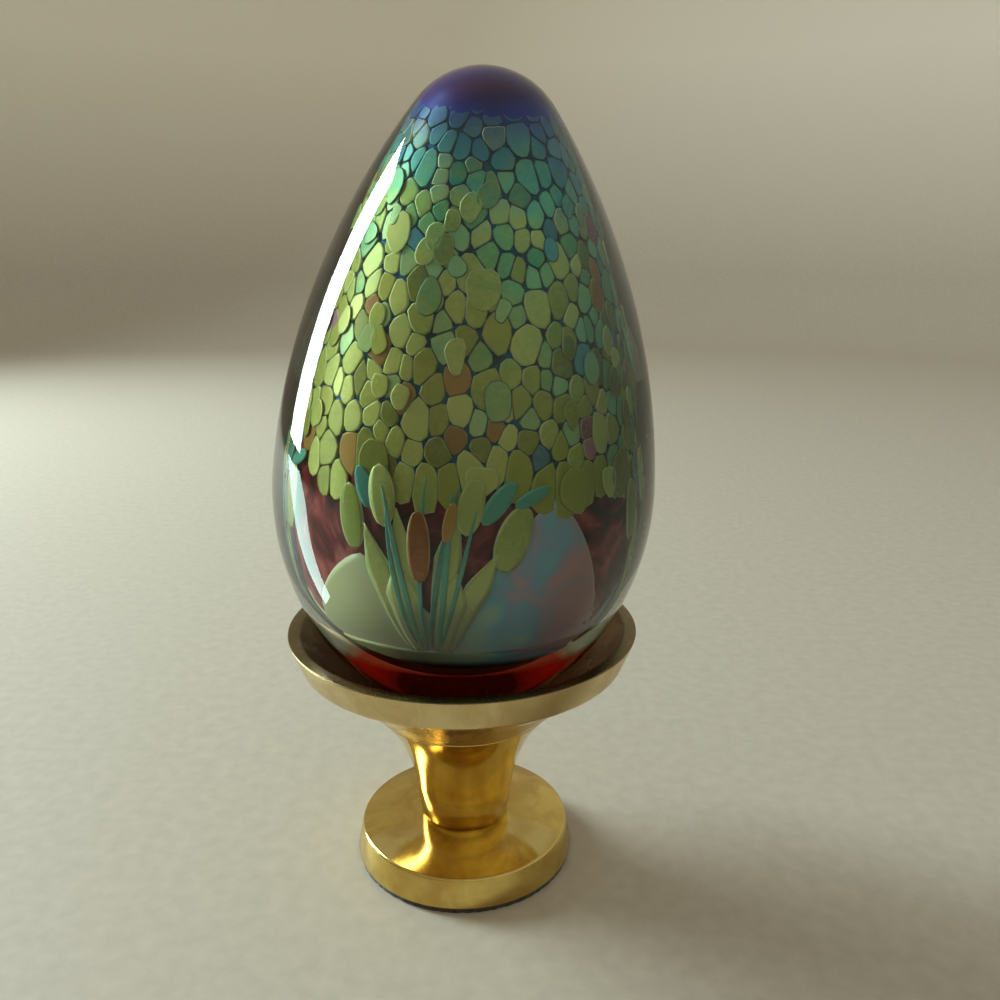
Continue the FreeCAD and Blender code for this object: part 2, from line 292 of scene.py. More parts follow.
straight_top = foot_high.z + STEM_STRAIGHT
straight_radius = STEM_FOOT_RADIUS + STEM_STRAIGHT * math.tan(STEM_TAPER)
flare_x = straight_radius + FLARE_RADIUS * math.cos(STEM_TAPER)
flare_z = straight_top - FLARE_RADIUS * math.sin(STEM_TAPER)
stem_bm = (Lathe(0, foot_high.z).line(STEM_FOOT_RADIUS - STEM_BEVEL, foot_high.z)
           .line(STEM_FOOT_RADIUS, foot_high.z + STEM_BEVEL)
           .line(straight_radius, straight_top)
           .arc(flare_x, flare_z, STEM_TAPER - FLARE_END, FLARE_STEP)
           .line(0, stem_high.z).turn(TURNING_SIDES))
finish_piece(stem_bm, "turned_stem", brass_mirror, "stand", ["stem"])
print("stem top radius:", round(stem_high.x / MM, 2), "mm")

# %% [markdown]
# ## Dish
# The dish is a shallow bowl with a flat rim, and below the rim a short band that slopes inwards. From there
# its hollow underside carries on the stem's flare. The dish was left satin, so it looks paler than the
# mirror-bright stem. The inside of the bowl is one arc of a sphere, found from its width and depth.

# %% Dish
RIM_RADIUS = 30.0 * MM
RIM_WIDTH = 2.1 * MM
BAND_HEIGHT = 5.3 * MM
BAND_INSET = 2.1 * MM
BOWL_DEPTH = 13.2 * MM
UNDERSIDE_HOLLOW = 0.6 * MM
RIM_BEVEL = 0.3 * MM
BOWL_STEP = 1 * MM

rim_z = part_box("dish")[1].z
bowl_radius = RIM_RADIUS - RIM_WIDTH
bowl_pole = rim_z - BOWL_DEPTH
sphere = (bowl_radius ** 2 + BOWL_DEPTH ** 2) / (2 * BOWL_DEPTH)
bowl_turn = math.asin(bowl_radius / sphere)
under_low = Vector((stem_high.x, 0, stem_high.z))
under_high = Vector((RIM_RADIUS - BAND_INSET, 0, rim_z - BAND_HEIGHT))
chord = under_high - under_low
under_radius = (chord.length ** 2 / 4 + UNDERSIDE_HOLLOW ** 2) / (2 * UNDERSIDE_HOLLOW)
outward = Vector((chord.z, 0, -chord.x)).normalized()
under_centre = (under_low + under_high) / 2 + outward * (under_radius - UNDERSIDE_HOLLOW)
under_turn = 2 * math.asin(chord.length / 2 / under_radius)

dish_bm = (Lathe(0, bowl_pole).arc(0, bowl_pole + sphere, bowl_turn, BOWL_STEP)
           .line(RIM_RADIUS, rim_z).line(under_high.x, under_high.z)
           .arc(under_centre.x, under_centre.z, under_turn, BOWL_STEP)
           .line(0, stem_high.z).turn(TURNING_SIDES))
bevel_rings(dish_bm, RIM_BEVEL)
finish_piece(dish_bm, "turned_dish", brass_satin, "stand", ["dish"])
print("bowl sphere radius:", round(sphere / MM, 2), "mm")

# %% [markdown]
# ## Felt pad
# A thin disc of pressed wool felt is glued under the foot, so that the brass doesn't scratch the table. From
# the side it shows as a dark, slightly ragged line. A turned disc whose edge is pushed in here and there by
# noise gives that line, and a fine noise gives the fibres.

# %% Felt material
FELT_FIBRE = 0.25 * MM
FELT_NAP = 0.1 * MM
FELT_TUFT = 1.1 * MM
FELT_RAGGEDNESS = 0.25 * MM

felt, felt_tree, felt_output = new_material("pressed wool felt")
felt_place = add(felt_tree, "ShaderNodeTexCoord").outputs["Object"]
fibres = add(felt_tree, "ShaderNodeTexNoise", {"Vector": felt_place, "Scale": 1 / FELT_FIBRE, "Detail": 4.0})
felt_colour = add(felt_tree, "ShaderNodeValToRGB", {"Fac": fibres.outputs["Fac"]},
                  stops=[(0.3, linear("#17130f")), (0.75, linear("#4a4138"))])
felt_bump = add(felt_tree, "ShaderNodeBump", {"Height": fibres.outputs["Fac"], "Strength": 0.8,
                                              "Distance": FELT_NAP})
felt_shader = add(felt_tree, "ShaderNodeBsdfPrincipled", {"Base Color": felt_colour.outputs["Color"],
                                                          "Roughness": 0.95, "Sheen Weight": 0.4,
                                                          "Normal": felt_bump.outputs["Normal"]})
felt_tree.links.new(felt_shader.outputs[0], felt_output.inputs["Surface"])
print("felt:", felt.name)

# %% Felt pad
pad_low, pad_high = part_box("base_pad")
pad_bm = (Lathe(0, pad_low.z).line(pad_high.x, pad_low.z).line(pad_high.x, pad_high.z)
          .line(0, pad_high.z).turn(TURNING_SIDES * 2))
for vert in pad_bm.verts:
    outward = Vector((vert.co.x, vert.co.y, 0))
    if outward.length > pad_high.x / 2:
        push = noise.noise(vert.co / FELT_TUFT) * FELT_RAGGEDNESS
        vert.co += outward.normalized() * min(push, 0.0)
finish_piece(pad_bm, "felt_pad", felt, "stand", ["base_pad"], smooth=False)

# %% [markdown]
# ## Screw and washer
# One screw clamps foot, stem and dish together from below. It and its washer are hidden by the felt, and
# their CAD solids are already right, so they only get the look of zinc-plated steel: grey, slightly blue,
# with a cloudy gloss.

# %% Steel material
ZINC_CLOUD = 1.5 * MM

steel, steel_tree, steel_output = new_material("zinc plated steel")
steel_place = add(steel_tree, "ShaderNodeTexCoord").outputs["Object"]
clouds = add(steel_tree, "ShaderNodeTexNoise", {"Vector": steel_place, "Scale": 1 / ZINC_CLOUD,
                                                "Detail": 3.0})
steel_colour = add(steel_tree, "ShaderNodeValToRGB", {"Fac": clouds.outputs["Fac"]},
                   stops=[(0.3, linear("#8f949a")), (0.7, linear("#b9bdc2"))])
steel_shader = add(steel_tree, "ShaderNodeBsdfPrincipled", {"Base Color": steel_colour.outputs["Color"],
                                                            "Metallic": 1.0, "Roughness": 0.35})
steel_tree.links.new(steel_shader.outputs[0], steel_output.inputs["Surface"])
for node_name in ("assembly_screw", "screw_washer"):
    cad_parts[node_name].data.materials.clear()
    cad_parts[node_name].data.materials.append(steel)
print("steel on the screw and the washer")

# %% [markdown]
# ## Egg outlines
# A glassblower's egg is a run of arcs that flow into each other: a ball for a base, a flatter waist, a
# nearly straight shoulder and a small round tip. Each arc starts in the direction in which the last one
# ended. The coloured core has such an outline too. The whole egg leans by 3.6 degrees in its dish, so every
# egg piece is modelled upright and then leaned about the centre of the ball-shaped base.
#
# The turns say, in degrees from the bottom pole, where each arc ends, and the radii how round it is. The
# last arc of all, the tip's, has no radius of its own: it is the one that closes the outline on the axis.

# %% Egg outlines
EGG_RADII = (28.8 * MM, 43.9 * MM, 110.2 * MM)
EGG_TURNS = (56.6, 95.0, 125.9)
CORE_RADII = (24.0 * MM, 13.0 * MM, 38.0 * MM, 200.0 * MM)
CORE_TURNS = (22.0, 70.0, 95.0, 110.0)
CORE_TIP_WALL = 4.9 * MM
EGG_LEAN = math.radians(3.6)


def egg_arcs(pole, radii, turns):
    """Tangent arcs from the pole to the tip, each as centre x, centre z, radius, first and last turn."""
    arcs = []
    centre_x = 0.0
    centre_z = pole + radii[0]
    first = 0.0
    for index, radius in enumerate(radii):
        last = math.radians(turns[index])
        arcs.append((centre_x, centre_z, radius, first, last))
        if index + 1 < len(radii):
            following = radii[index + 1]
        else:
            following = centre_x / math.sin(last) + radius
        centre_x += (radius - following) * math.sin(last)
        centre_z -= (radius - following) * math.cos(last)
        first = last
    arcs.append((0.0, centre_z, following, first, math.pi))
    return arcs


egg_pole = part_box("clear_casing")[0].z
egg_outline = egg_arcs(egg_pole, EGG_RADII, EGG_TURNS)
egg_tip = egg_outline[-1][1] + egg_outline[-1][2]
core_length = sum(egg_arcs(0.0, CORE_RADII, CORE_TURNS)[-1][1:3])
core_pole = egg_tip - CORE_TIP_WALL - core_length
core_outline = egg_arcs(core_pole, CORE_RADII, CORE_TURNS)
lean_centre = Vector((0, 0, egg_pole + EGG_RADII[0]))
print("egg from", round(egg_pole / MM, 1), "to", round(egg_tip / MM, 1), "mm")
print("core from", round(core_pole / MM, 1), "to", round((core_pole + core_length) / MM, 1), "mm")


# %% Drawing and leaning an egg
def draw_egg(arcs, lift, first, last, step, lathe=None):
    """Draws an egg outline between two turns, lifted off it."""
    for centre_x, centre_z, radius, arc_first, arc_last in arcs:
        start = max(first, arc_first)
        end = min(last, arc_last)
        if end <= start:
            continue
        if lathe is None:
            lathe = Lathe(centre_x + (radius + lift) * math.sin(start),
                          centre_z - (radius + lift) * math.cos(start))
        lathe.arc(centre_x, centre_z, end - start, step)
    return lathe


def settle(bm):
    """Leans an egg piece about the centre of the ball-shaped base."""
    bmesh.ops.rotate(bm, verts=bm.verts, cent=lean_centre, matrix=Matrix.Rotation(EGG_LEAN, 3, "Y"))
    return bm


print("an egg piece leans by", round(math.degrees(EGG_LEAN), 1), "degrees")

# %% [markdown]
# ## A map of the core
# Chips, blades and hills lie on the curved core. It is easier to model them flat and then wrap them on. The
# map says where a point lands: so far along the outline from the bottom pole, at an angle round the axis
# (0 is the front, and it grows towards the right), and lifted off the surface by a height.

# %% Map of the core
core_spans = [(radius * (last - first), x, z, radius, first) for x, z, radius, first, last in core_outline]
core_run = sum(span[0] for span in core_spans)


def on_core(along, angle, lift):
    """A point over the core's surface."""
    left = min(max(along, 0.0), core_run)
    for length, x, z, radius, first in core_spans:
        if left <= length:
            break
        left -= length
    turn = first + left / radius
    from_axis = x + (radius + lift) * math.sin(turn)
    return Vector((from_axis * math.sin(angle), -from_axis * math.cos(angle),
                   z - (radius + lift) * math.cos(turn)))


def core_radius(along):
    return on_core(along, 0.0, 0.0).xy.length


def wrap(verts, along, angle):
    """Wraps a flat shape onto the core: its x goes round, its y up along the outline, its z out."""
    for vert in verts:
        row = along + vert.co.y
        vert.co = on_core(row, angle + vert.co.x / max(core_radius(row), MM), vert.co.z)


print("the core's outline is", round(core_run / MM, 1), "mm long")

# %% [markdown]
# ## Clear casing
# The outer glass is lead-free crystal, ground and polished, so it is smooth and clear with a faint grey
# tint. It is one closed surface. The coloured pieces simply sit inside it, as they do in the real egg, where
# everything is melted together with no air between. Cycles would shade the inside as if glass blocked every
# lamp, so for shadow rays the casing counts as transparent. The foot of the egg, which the dish hides, is
# stained ruby: that is the red glow between the hills and the rim. At the front the ruby is painted
# near-black: painted shade, where little light gets through the foot of the egg.

# %% Clear glass
CASING_TINT_DENSITY = 70.0
STAIN_LOW = 40.0 * MM
STAIN_HIGH = 47.8 * MM
# Painted shade: the ruby turns near-black round this place, low at the front of the egg.
SHADE_POOL_PLACE = Vector((0, -23, 42)) * MM
SHADE_POOL_CORE = 9 * MM
SHADE_POOL_EDGE = 15 * MM
HAND_WAVE = 14 * MM
HAND_WAVE_DEPTH = 0.05 * MM

clear_glass, glass_tree, glass_output = new_material("polished clear glass")
glass_place = add(glass_tree, "ShaderNodeTexCoord").outputs["Object"]
waves = add(glass_tree, "ShaderNodeTexNoise", {"Vector": glass_place, "Scale": 1 / HAND_WAVE, "Detail": 1.0})
glass_bump = add(glass_tree, "ShaderNodeBump", {"Height": waves.outputs["Fac"], "Strength": 0.3,
                                                "Distance": HAND_WAVE_DEPTH})
glass_split = add(glass_tree, "ShaderNodeSeparateXYZ", {0: glass_place})
glass_level = add(glass_tree, "ShaderNodeMapRange", {"Value": glass_split.outputs[2], "From Min": STAIN_LOW,
                                                     "From Max": STAIN_HIGH})
glass_colour = add(glass_tree, "ShaderNodeValToRGB", {"Fac": glass_level.outputs["Result"]},
                   stops=[(0.0, linear("#ff3018")), (0.8, linear("#f02010")), (0.9, linear("#b89878")),
                          (1.0, linear("#fbfbfd"))])
shade_pool_distance = add(glass_tree, "ShaderNodeVectorMath", {0: glass_place, 1: SHADE_POOL_PLACE},
                    operation="DISTANCE")
shade_pool_near = add(glass_tree, "ShaderNodeMapRange", {"Value": shade_pool_distance.outputs["Value"],
                                                   "From Min": SHADE_POOL_EDGE, "From Max": SHADE_POOL_CORE})
shade_pool_low = add(glass_tree, "ShaderNodeMapRange", {"Value": glass_level.outputs["Result"], "From Min": 0.9,
                                                  "From Max": 0.8})
shade_pool_mask = add(glass_tree, "ShaderNodeMath", {0: shade_pool_near.outputs["Result"], 1: shade_pool_low.outputs["Result"]},
           operation="MULTIPLY")
# The near-black of the painted shade.
shade_pooled = add(glass_tree, "ShaderNodeMix", {0: shade_pool_mask.outputs[0], 6: glass_colour.outputs["Color"],
                                           7: linear("#1c0402")}, data_type="RGBA")
glass_shader = add(glass_tree, "ShaderNodeBsdfPrincipled",
                   {"Base Color": shade_pooled.outputs[2], "Roughness": 0.0, "IOR": 1.5,
                    "Transmission Weight": 1.0, "Normal": glass_bump.outputs["Normal"]})
let_through = add(glass_tree, "ShaderNodeBsdfTransparent", {"Color": linear("#f0f2f4")})
is_shadow = add(glass_tree, "ShaderNodeLightPath").outputs["Is Shadow Ray"]
glass_mix = add(glass_tree, "ShaderNodeMixShader", {0: is_shadow, 1: glass_shader.outputs[0],
                                                    2: let_through.outputs[0]})
tint = add(glass_tree, "ShaderNodeVolumeAbsorption", {"Color": linear("#d6dad2"),
                                                      "Density": CASING_TINT_DENSITY})
glass_tree.links.new(glass_mix.outputs[0], glass_output.inputs["Surface"])
glass_tree.links.new(tint.outputs[0], glass_output.inputs["Volume"])
print("clear glass:", clear_glass.name)

# %% Casing
CASING_STEP = 1.2 * MM
CASING_SIDES = 144

casing_bm = settle(draw_egg(egg_outline, 0.0, 0.0, math.pi, CASING_STEP).turn(CASING_SIDES))
finish_piece(casing_bm, "polished_casing", clear_glass, "egg", ["clear_casing"])

# %% [markdown]
# ## Coloured glass with a metal lustre
# The chips, threads and hills are opaque coloured glass whose surface was fumed with metal salts while hot.
# That leaves a film thinner than a wave of light, so the colour drifts from yellow-green to teal as the film
# gets thicker, and it has a soft metallic sheen. Here the colour runs from yellow-green on the left, the
# lamp's side, to teal on the far side and at the tip. The yellow-green there is partly a painted reflection
# of the window, and a dark teal on the far right side is painted shade. Each chip has its own shade as well,
# and a fine line round its edge where it was squeezed against its neighbours.
#
# Every piece carries two attributes for this: rim is 1 at a chip's edge and 0 inside, and shade is one
# random number for each chip.

# %% Film of metal, with painted reflection and painted shade
DRIFT_SIZE = 6 * MM
FILM_MIDDLE = Vector((4, 0, 104)) * MM
# The film colour and its painted light run along this direction: yellow-green, partly painted reflection, on
# the lamp's side.
FILM_AND_LIGHT_DIRECTION = Vector((0.62, 0.3, 0.72))
FILM_REACH = 30 * MM
FILM_AND_LIGHT_HUES = ((0.1, "#e2e668"), (0.3, "#c2d452"), (0.46, "#84d066"), (0.6, "#3ccc9c"), (0.78, "#20a8c0"))
# Painted shade: a dark teal on the far right side, away from the lamp.
PAINTED_SHADE_SIDE = 17 * MM
FAR_BLEND = 5 * MM
PAINTED_SHADE_HUE = "#1c7c84"
NAVY_LOW = 112 * MM
NAVY_HIGH = 123 * MM
TIP_HUE = "#10488a"


def film_and_light_level(tree, place):
    """0 on the lamp's side and low down, 1 towards the far side and the tip: film thickness and painted
    light.
    """
    from_middle = add(tree, "ShaderNodeVectorMath", {0: place, 1: FILM_MIDDLE}, operation="SUBTRACT")
    along = add(tree, "ShaderNodeVectorMath", {0: from_middle.outputs[0], 1: FILM_AND_LIGHT_DIRECTION},
                operation="DOT_PRODUCT")
    drift = add(tree, "ShaderNodeTexNoise", {"Vector": place, "Scale": 1 / DRIFT_SIZE, "Detail": 2.0,
                                             "Distortion": 0.8})
    level = add(tree, "ShaderNodeMapRange", {"Value": along.outputs["Value"], "From Min": -FILM_REACH,
                                             "From Max": FILM_REACH, "To Min": -0.5, "To Max": 0.5})
    calmer = add(tree, "ShaderNodeMapRange", {"Value": drift.outputs["Fac"], "To Min": 0.2, "To Max": 0.8})
    total = add(tree, "ShaderNodeMath", {0: level.outputs["Result"], 1: calmer.outputs["Result"]},
                operation="ADD", use_clamp=True)
    return total.outputs[0]


def film_and_light_colour(tree, place):
    """The film's colour with painted light: yellow-green on the lamp's side, painted shade on the far right,
    navy at the tip.
    """
    hues = add(tree, "ShaderNodeValToRGB", {"Fac": film_and_light_level(tree, place)},
               stops=[(where, linear(hue)) for where, hue in FILM_AND_LIGHT_HUES])
    split = add(tree, "ShaderNodeSeparateXYZ", {0: place})
    # Painted shade on the far right side.
    painted_shade_side = add(tree, "ShaderNodeMapRange", {"Value": split.outputs[0], "From Min": PAINTED_SHADE_SIDE - FAR_BLEND,
                                                "From Max": PAINTED_SHADE_SIDE + FAR_BLEND, "To Max": 0.7})
    shaded = add(tree, "ShaderNodeMix", {0: painted_shade_side.outputs["Result"], 6: hues.outputs["Color"],
                                         7: linear(PAINTED_SHADE_HUE)}, data_type="RGBA")
    near_tip = add(tree, "ShaderNodeMapRange", {"Value": split.outputs[2], "From Min": NAVY_LOW,
                                                "From Max": NAVY_HIGH})
    return add(tree, "ShaderNodeMix", {0: near_tip.outputs["Result"], 6: shaded.outputs[2],
                                       7: linear(TIP_HUE)}, data_type="RGBA").outputs[2]


print("the film runs through", len(FILM_AND_LIGHT_HUES), "hues")

# %% Lustred glass material
MOTTLE_SIZE = 1.1 * MM
MOTTLE_DEPTH = 0.08 * MM
THIN_LOW = 48 * MM
THIN_HIGH = 62 * MM
LUSTRE_METALLIC = 0.25
LUSTRE_ROUGHNESS = 0.24


def lustred_glass(name, deep, pale, edge, film, foot_hue=None):
    """A glass between a deep and a pale shade, with lined edges, a share of film colour with painted light
    and a hue at its foot.
    """
    material, tree, output = new_material(name)
    place = add(tree, "ShaderNodeTexCoord").outputs["Object"]
    shade = add(tree, "ShaderNodeAttribute", attribute_name="shade").outputs["Fac"]
    rim = add(tree, "ShaderNodeAttribute", attribute_name="rim").outputs["Fac"]
    mottle = add(tree, "ShaderNodeTexNoise", {"Vector": place, "Scale": 1 / MOTTLE_SIZE, "Detail": 4.0,
                                              "Roughness": 0.65, "Distortion": 1.2})
    tone = add(tree, "ShaderNodeMath", {0: shade, 1: mottle.outputs["Fac"]}, operation="ADD")
    tone = add(tree, "ShaderNodeMapRange", {"Value": tone.outputs[0], "From Min": 0.55, "From Max": 1.25})
    face = add(tree, "ShaderNodeMix", {0: tone.outputs["Result"], 6: linear(deep), 7: linear(pale)},
               data_type="RGBA")
    height = add(tree, "ShaderNodeSeparateXYZ", {0: place}).outputs[2]
    film_and_light_amount = add(tree, "ShaderNodeMapRange", {"Value": height, "From Min": NAVY_LOW - FAR_BLEND,
                                                   "From Max": NAVY_HIGH, "To Min": film, "To Max": 0.9})
    film_and_light_mixed = add(tree, "ShaderNodeMix", {0: film_and_light_amount.outputs["Result"], 6: face.outputs[2],
                                         7: film_and_light_colour(tree, place)}, data_type="RGBA")
    line = add(tree, "ShaderNodeMapRange", {"Value": rim, "From Min": 0.55, "From Max": 0.9, "To Max": 0.75})
    if foot_hue:
        thin = add(tree, "ShaderNodeMapRange", {"Value": height, "From Min": THIN_HIGH, "From Max": THIN_LOW,
                                                "To Max": 0.8})
        film_and_light_mixed = add(tree, "ShaderNodeMix", {0: thin.outputs["Result"], 6: film_and_light_mixed.outputs[2],
                                             7: linear(foot_hue)}, data_type="RGBA")
    lined = add(tree, "ShaderNodeMix", {0: line.outputs["Result"], 6: film_and_light_mixed.outputs[2], 7: linear(edge)},
                data_type="RGBA")
    bump = add(tree, "ShaderNodeBump", {"Height": mottle.outputs["Fac"], "Strength": 0.3,
                                        "Distance": MOTTLE_DEPTH})
    shader = add(tree, "ShaderNodeBsdfPrincipled", {"Base Color": lined.outputs[2],
                                                    "Metallic": LUSTRE_METALLIC,
                                                    "Roughness": LUSTRE_ROUGHNESS,
                                                    "Normal": bump.outputs["Normal"]})
    tree.links.new(shader.outputs[0], output.inputs["Surface"])
    return material


glasses = {
    "lime": lustred_glass("lime lustred glass", "#98a43c", "#f0f498", "#eef8bc", 0.45),
    "olive": lustred_glass("olive lustred glass", "#4c561a", "#b4b44c", "#b8c07c", 0.35),
    "teal": lustred_glass("teal lustred glass", "#38a488", "#a8f4d0", "#0f5a64", 0.55),
    "blue": lustred_glass("blue lustred glass", "#0c68ac", "#38b0cc", "#0a3a5c", 0.2),
    "russet": lustred_glass("russet lustred glass", "#96431f", "#c47c3c", "#c8b878", 0.2),
    "plum": lustred_glass("plum lustred glass", "#8c4468", "#c486a6", "#e0d08c", 0.1),
}
print("lustred glasses:", ", ".join(glasses))

# %% [markdown]
# ## Core
# The core is two gathers of glass fused end to end, dark blue-green above and ruby below. It shows as thin
# dark lines between the chips, and as dusky red between the hills and the chips. Both CAD solids have the
# right shape, so they stay and get a material. The colour drifts with a slow noise, as hand-mixed glass
# does. Glass under glass reflects almost nothing at its surface, so its specular level is nearly 0.

# %% Core materials
GLASS_UNDER_GLASS = 0.08
CORE_ROUGHNESS = 0.3
SEA_SWIRL = 7 * MM
RUBY_SWIRL = 9 * MM


def drifting_glass(name, stops, size, metallic):
    """Coloured glass whose colour follows slow noise."""
    material, tree, output = new_material(name)
    place = add(tree, "ShaderNodeTexCoord").outputs["Object"]
    swirl = add(tree, "ShaderNodeTexNoise", {"Vector": place, "Scale": 1 / size, "Detail": 3.0,
                                             "Distortion": 1.5})
    colour = add(tree, "ShaderNodeValToRGB", {"Fac": swirl.outputs["Fac"]},
                 stops=[(where, linear(shade)) for where, shade in stops])
    shader = add(tree, "ShaderNodeBsdfPrincipled", {"Base Color": colour.outputs["Color"],
                                                    "Metallic": metallic, "Roughness": CORE_ROUGHNESS,
                                                    "Specular IOR Level": GLASS_UNDER_GLASS})
    tree.links.new(shader.outputs[0], output.inputs["Surface"])
    return material


sea_glass = drifting_glass("blue-green gather", [(0.36, "#063c48"), (0.5, "#0b6c80"), (0.64, "#0a5ca0")],
                           SEA_SWIRL, 0.2)
ruby_glass = drifting_glass("ruby gather", [(0.36, "#20100e"), (0.5, "#7c1c22"), (0.68, "#d06c64")],
                            RUBY_SWIRL, 0.0)
for node_name, material in (("upper_core", sea_glass), ("ruby_core", ruby_glass)):
    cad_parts[node_name].data.materials.clear()
    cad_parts[node_name].data.materials.append(material)
print("core materials:", sea_glass.name, "and", ruby_glass.name)

# %% [markdown]
# ## Violet cap
# At the tip the last gather of violet glass was drawn over the core. It has no sharp edge on the real egg:
# the violet fades through navy into the teal below. The cap is a thin coat turned on the lathe, which thins
# out towards its low edge, and its colour follows the height.

# %% Violet glass
CAP_DEPTH = 6.0 * MM
VIOLET_CLOUD = 9 * MM

violet, violet_tree, violet_output = new_material("violet gather")
violet_place = add(violet_tree, "ShaderNodeTexCoord").outputs["Object"]
violet_split = add(violet_tree, "ShaderNodeSeparateXYZ", {0: violet_place})
violet_noise = add(violet_tree, "ShaderNodeTexNoise", {"Vector": violet_place, "Scale": 1 / VIOLET_CLOUD,
                                                       "Detail": 1.0})
core_tip = core_pole + core_length
violet_height = add(violet_tree, "ShaderNodeMapRange", {"Value": violet_split.outputs[2],
                                                        "From Min": core_tip - CAP_DEPTH,
                                                        "From Max": core_tip})
violet_sum = add(violet_tree, "ShaderNodeMath", {0: violet_height.outputs["Result"],
                                                 1: violet_noise.outputs["Fac"]}, operation="ADD")
violet_half = add(violet_tree, "ShaderNodeMath", {0: violet_sum.outputs[0], 1: 0.5}, operation="MULTIPLY")
violet_colour = add(violet_tree, "ShaderNodeValToRGB", {"Fac": violet_half.outputs[0]},
                    stops=[(0.25, linear(TIP_HUE)), (0.42, linear("#1c329a")), (0.6, linear("#2a1a66")),
                           (0.84, linear("#54201e"))])
violet_shader = add(violet_tree, "ShaderNodeBsdfPrincipled", {"Base Color": violet_colour.outputs["Color"],
                                                              "Roughness": 0.4,
                                                              "Specular IOR Level": GLASS_UNDER_GLASS})
violet_tree.links.new(violet_shader.outputs[0], violet_output.inputs["Surface"])
print("violet glass:", violet.name)

# %% Cap
COAT_LOW = 0.05 * MM
COAT_HIGH = 0.95 * MM
COAT_STEP = 0.8 * MM
CAP_SIDES = 64
CAP_FEATHER = 0.8 * CAP_DEPTH
FEATHER_SHARE = 0.9


def core_turn_at(height):
    """The turn of the core's outline at a height above its pole."""
    for centre_x, centre_z, radius, first, last in core_outline:
        if core_pole + height <= centre_z - radius * math.cos(last):
            break
    return math.acos(max(-1.0, min(1.0, (centre_z - core_pole - height) / radius)))


def coat(low_turn, high_turn, low_lift, high_lift, sides, feather=0.0):
    """A closed coat on the core between two turns. Over the height feather it thins to its low edge."""
    lathe = draw_egg(core_outline, high_lift, low_turn, high_turn, COAT_STEP)
    if feather:
        for vert in lathe.bm.verts:
            share = min(1.0, (vert.co.z - lathe.bm.verts[:][0].co.z) / feather)
            vert.co.x -= (high_lift - low_lift) * FEATHER_SHARE * (1 - share ** 2)
    inner = draw_egg(core_outline, low_lift, low_turn, high_turn, COAT_STEP)
    for vert in list(inner.bm.verts)[::-1]:
        lathe.line(vert.co.x, vert.co.z)
    inner.bm.free()
    first = lathe.bm.verts[:][0]
    lathe.line(first.co.x, first.co.z)
    return lathe.turn(sides)


cap_low = core_turn_at(core_length - CAP_DEPTH)
cap_bm = settle(coat(cap_low, math.pi, COAT_LOW, COAT_HIGH, CAP_SIDES, CAP_FEATHER))
finish_piece(cap_bm, "drawn_cap", violet, "egg", ["violet_cap"])

# %% [markdown]
# ## Opal ground
# Opal glass is milky, because it holds fine crystals that scatter light. It makes a thin ground round the
# foot of the core and the rounded hills above it, and its colour drifts from straw through sky blue to a
# dusty pink. Right under the core the opal is so thin that the ruby glass glows through.

# %% Opal glass
OPAL_REACH = 18 * MM
OPAL_CLOUD = 9 * MM
OPAL_HUES = ((0.1, "#e0dca0"), (0.36, "#e4e4a4"), (0.54, "#c4ecdc"), (0.66, "#70ccf0"), (0.78, "#f0b8c8"),
             (0.95, "#fac0bc"))


def opal_colours(tree, place):
    """Straw, pale green, sky blue and dusty pink, which follow each other across the egg in soft clouds."""
    swirl = add(tree, "ShaderNodeTexNoise", {"Vector": place, "Scale": 1 / OPAL_CLOUD, "Detail": 1.5,
                                             "Distortion": 0.8})
    split = add(tree, "ShaderNodeSeparateXYZ", {0: place})
    across = add(tree, "ShaderNodeMapRange", {"Value": split.outputs[0], "From Min": -OPAL_REACH,
                                              "From Max": OPAL_REACH, "To Min": -0.35, "To Max": 0.35})
    calm = add(tree, "ShaderNodeMapRange", {"Value": swirl.outputs["Fac"], "To Min": 0.22, "To Max": 0.78})
    total = add(tree, "ShaderNodeMath", {0: across.outputs["Result"], 1: calm.outputs["Result"]},
                operation="ADD")
    hues = add(tree, "ShaderNodeValToRGB", {"Fac": total.outputs[0]},
               stops=[(where, linear(hue)) for where, hue in OPAL_HUES])
    hues.color_ramp.interpolation = "B_SPLINE"
    return hues.outputs["Color"]


opal, opal_tree, opal_output = new_material("milky opal glass")
opal_place = add(opal_tree, "ShaderNodeTexCoord").outputs["Object"]
opal_rim = add(opal_tree, "ShaderNodeAttribute", attribute_name="rim").outputs["Fac"]
opal_line = add(opal_tree, "ShaderNodeMapRange", {"Value": opal_rim, "From Min": 0.5, "To Max": 0.5})
opal_lined = add(opal_tree, "ShaderNodeMix", {0: opal_line.outputs["Result"],
                                              6: opal_colours(opal_tree, opal_place),
                                              7: linear("#f4f6ea")}, data_type="RGBA")
opal_shader = add(opal_tree, "ShaderNodeBsdfPrincipled", {"Base Color": opal_lined.outputs[2],
                                                          "Roughness": 0.4, "Specular IOR Level": 0.2})
opal_tree.links.new(opal_shader.outputs[0], opal_output.inputs["Surface"])
print("opal:", opal.name)

# %% Veiled opal glass
VEIL_LOW = 0.5 * MM
VEIL_HIGH = 1.5 * MM

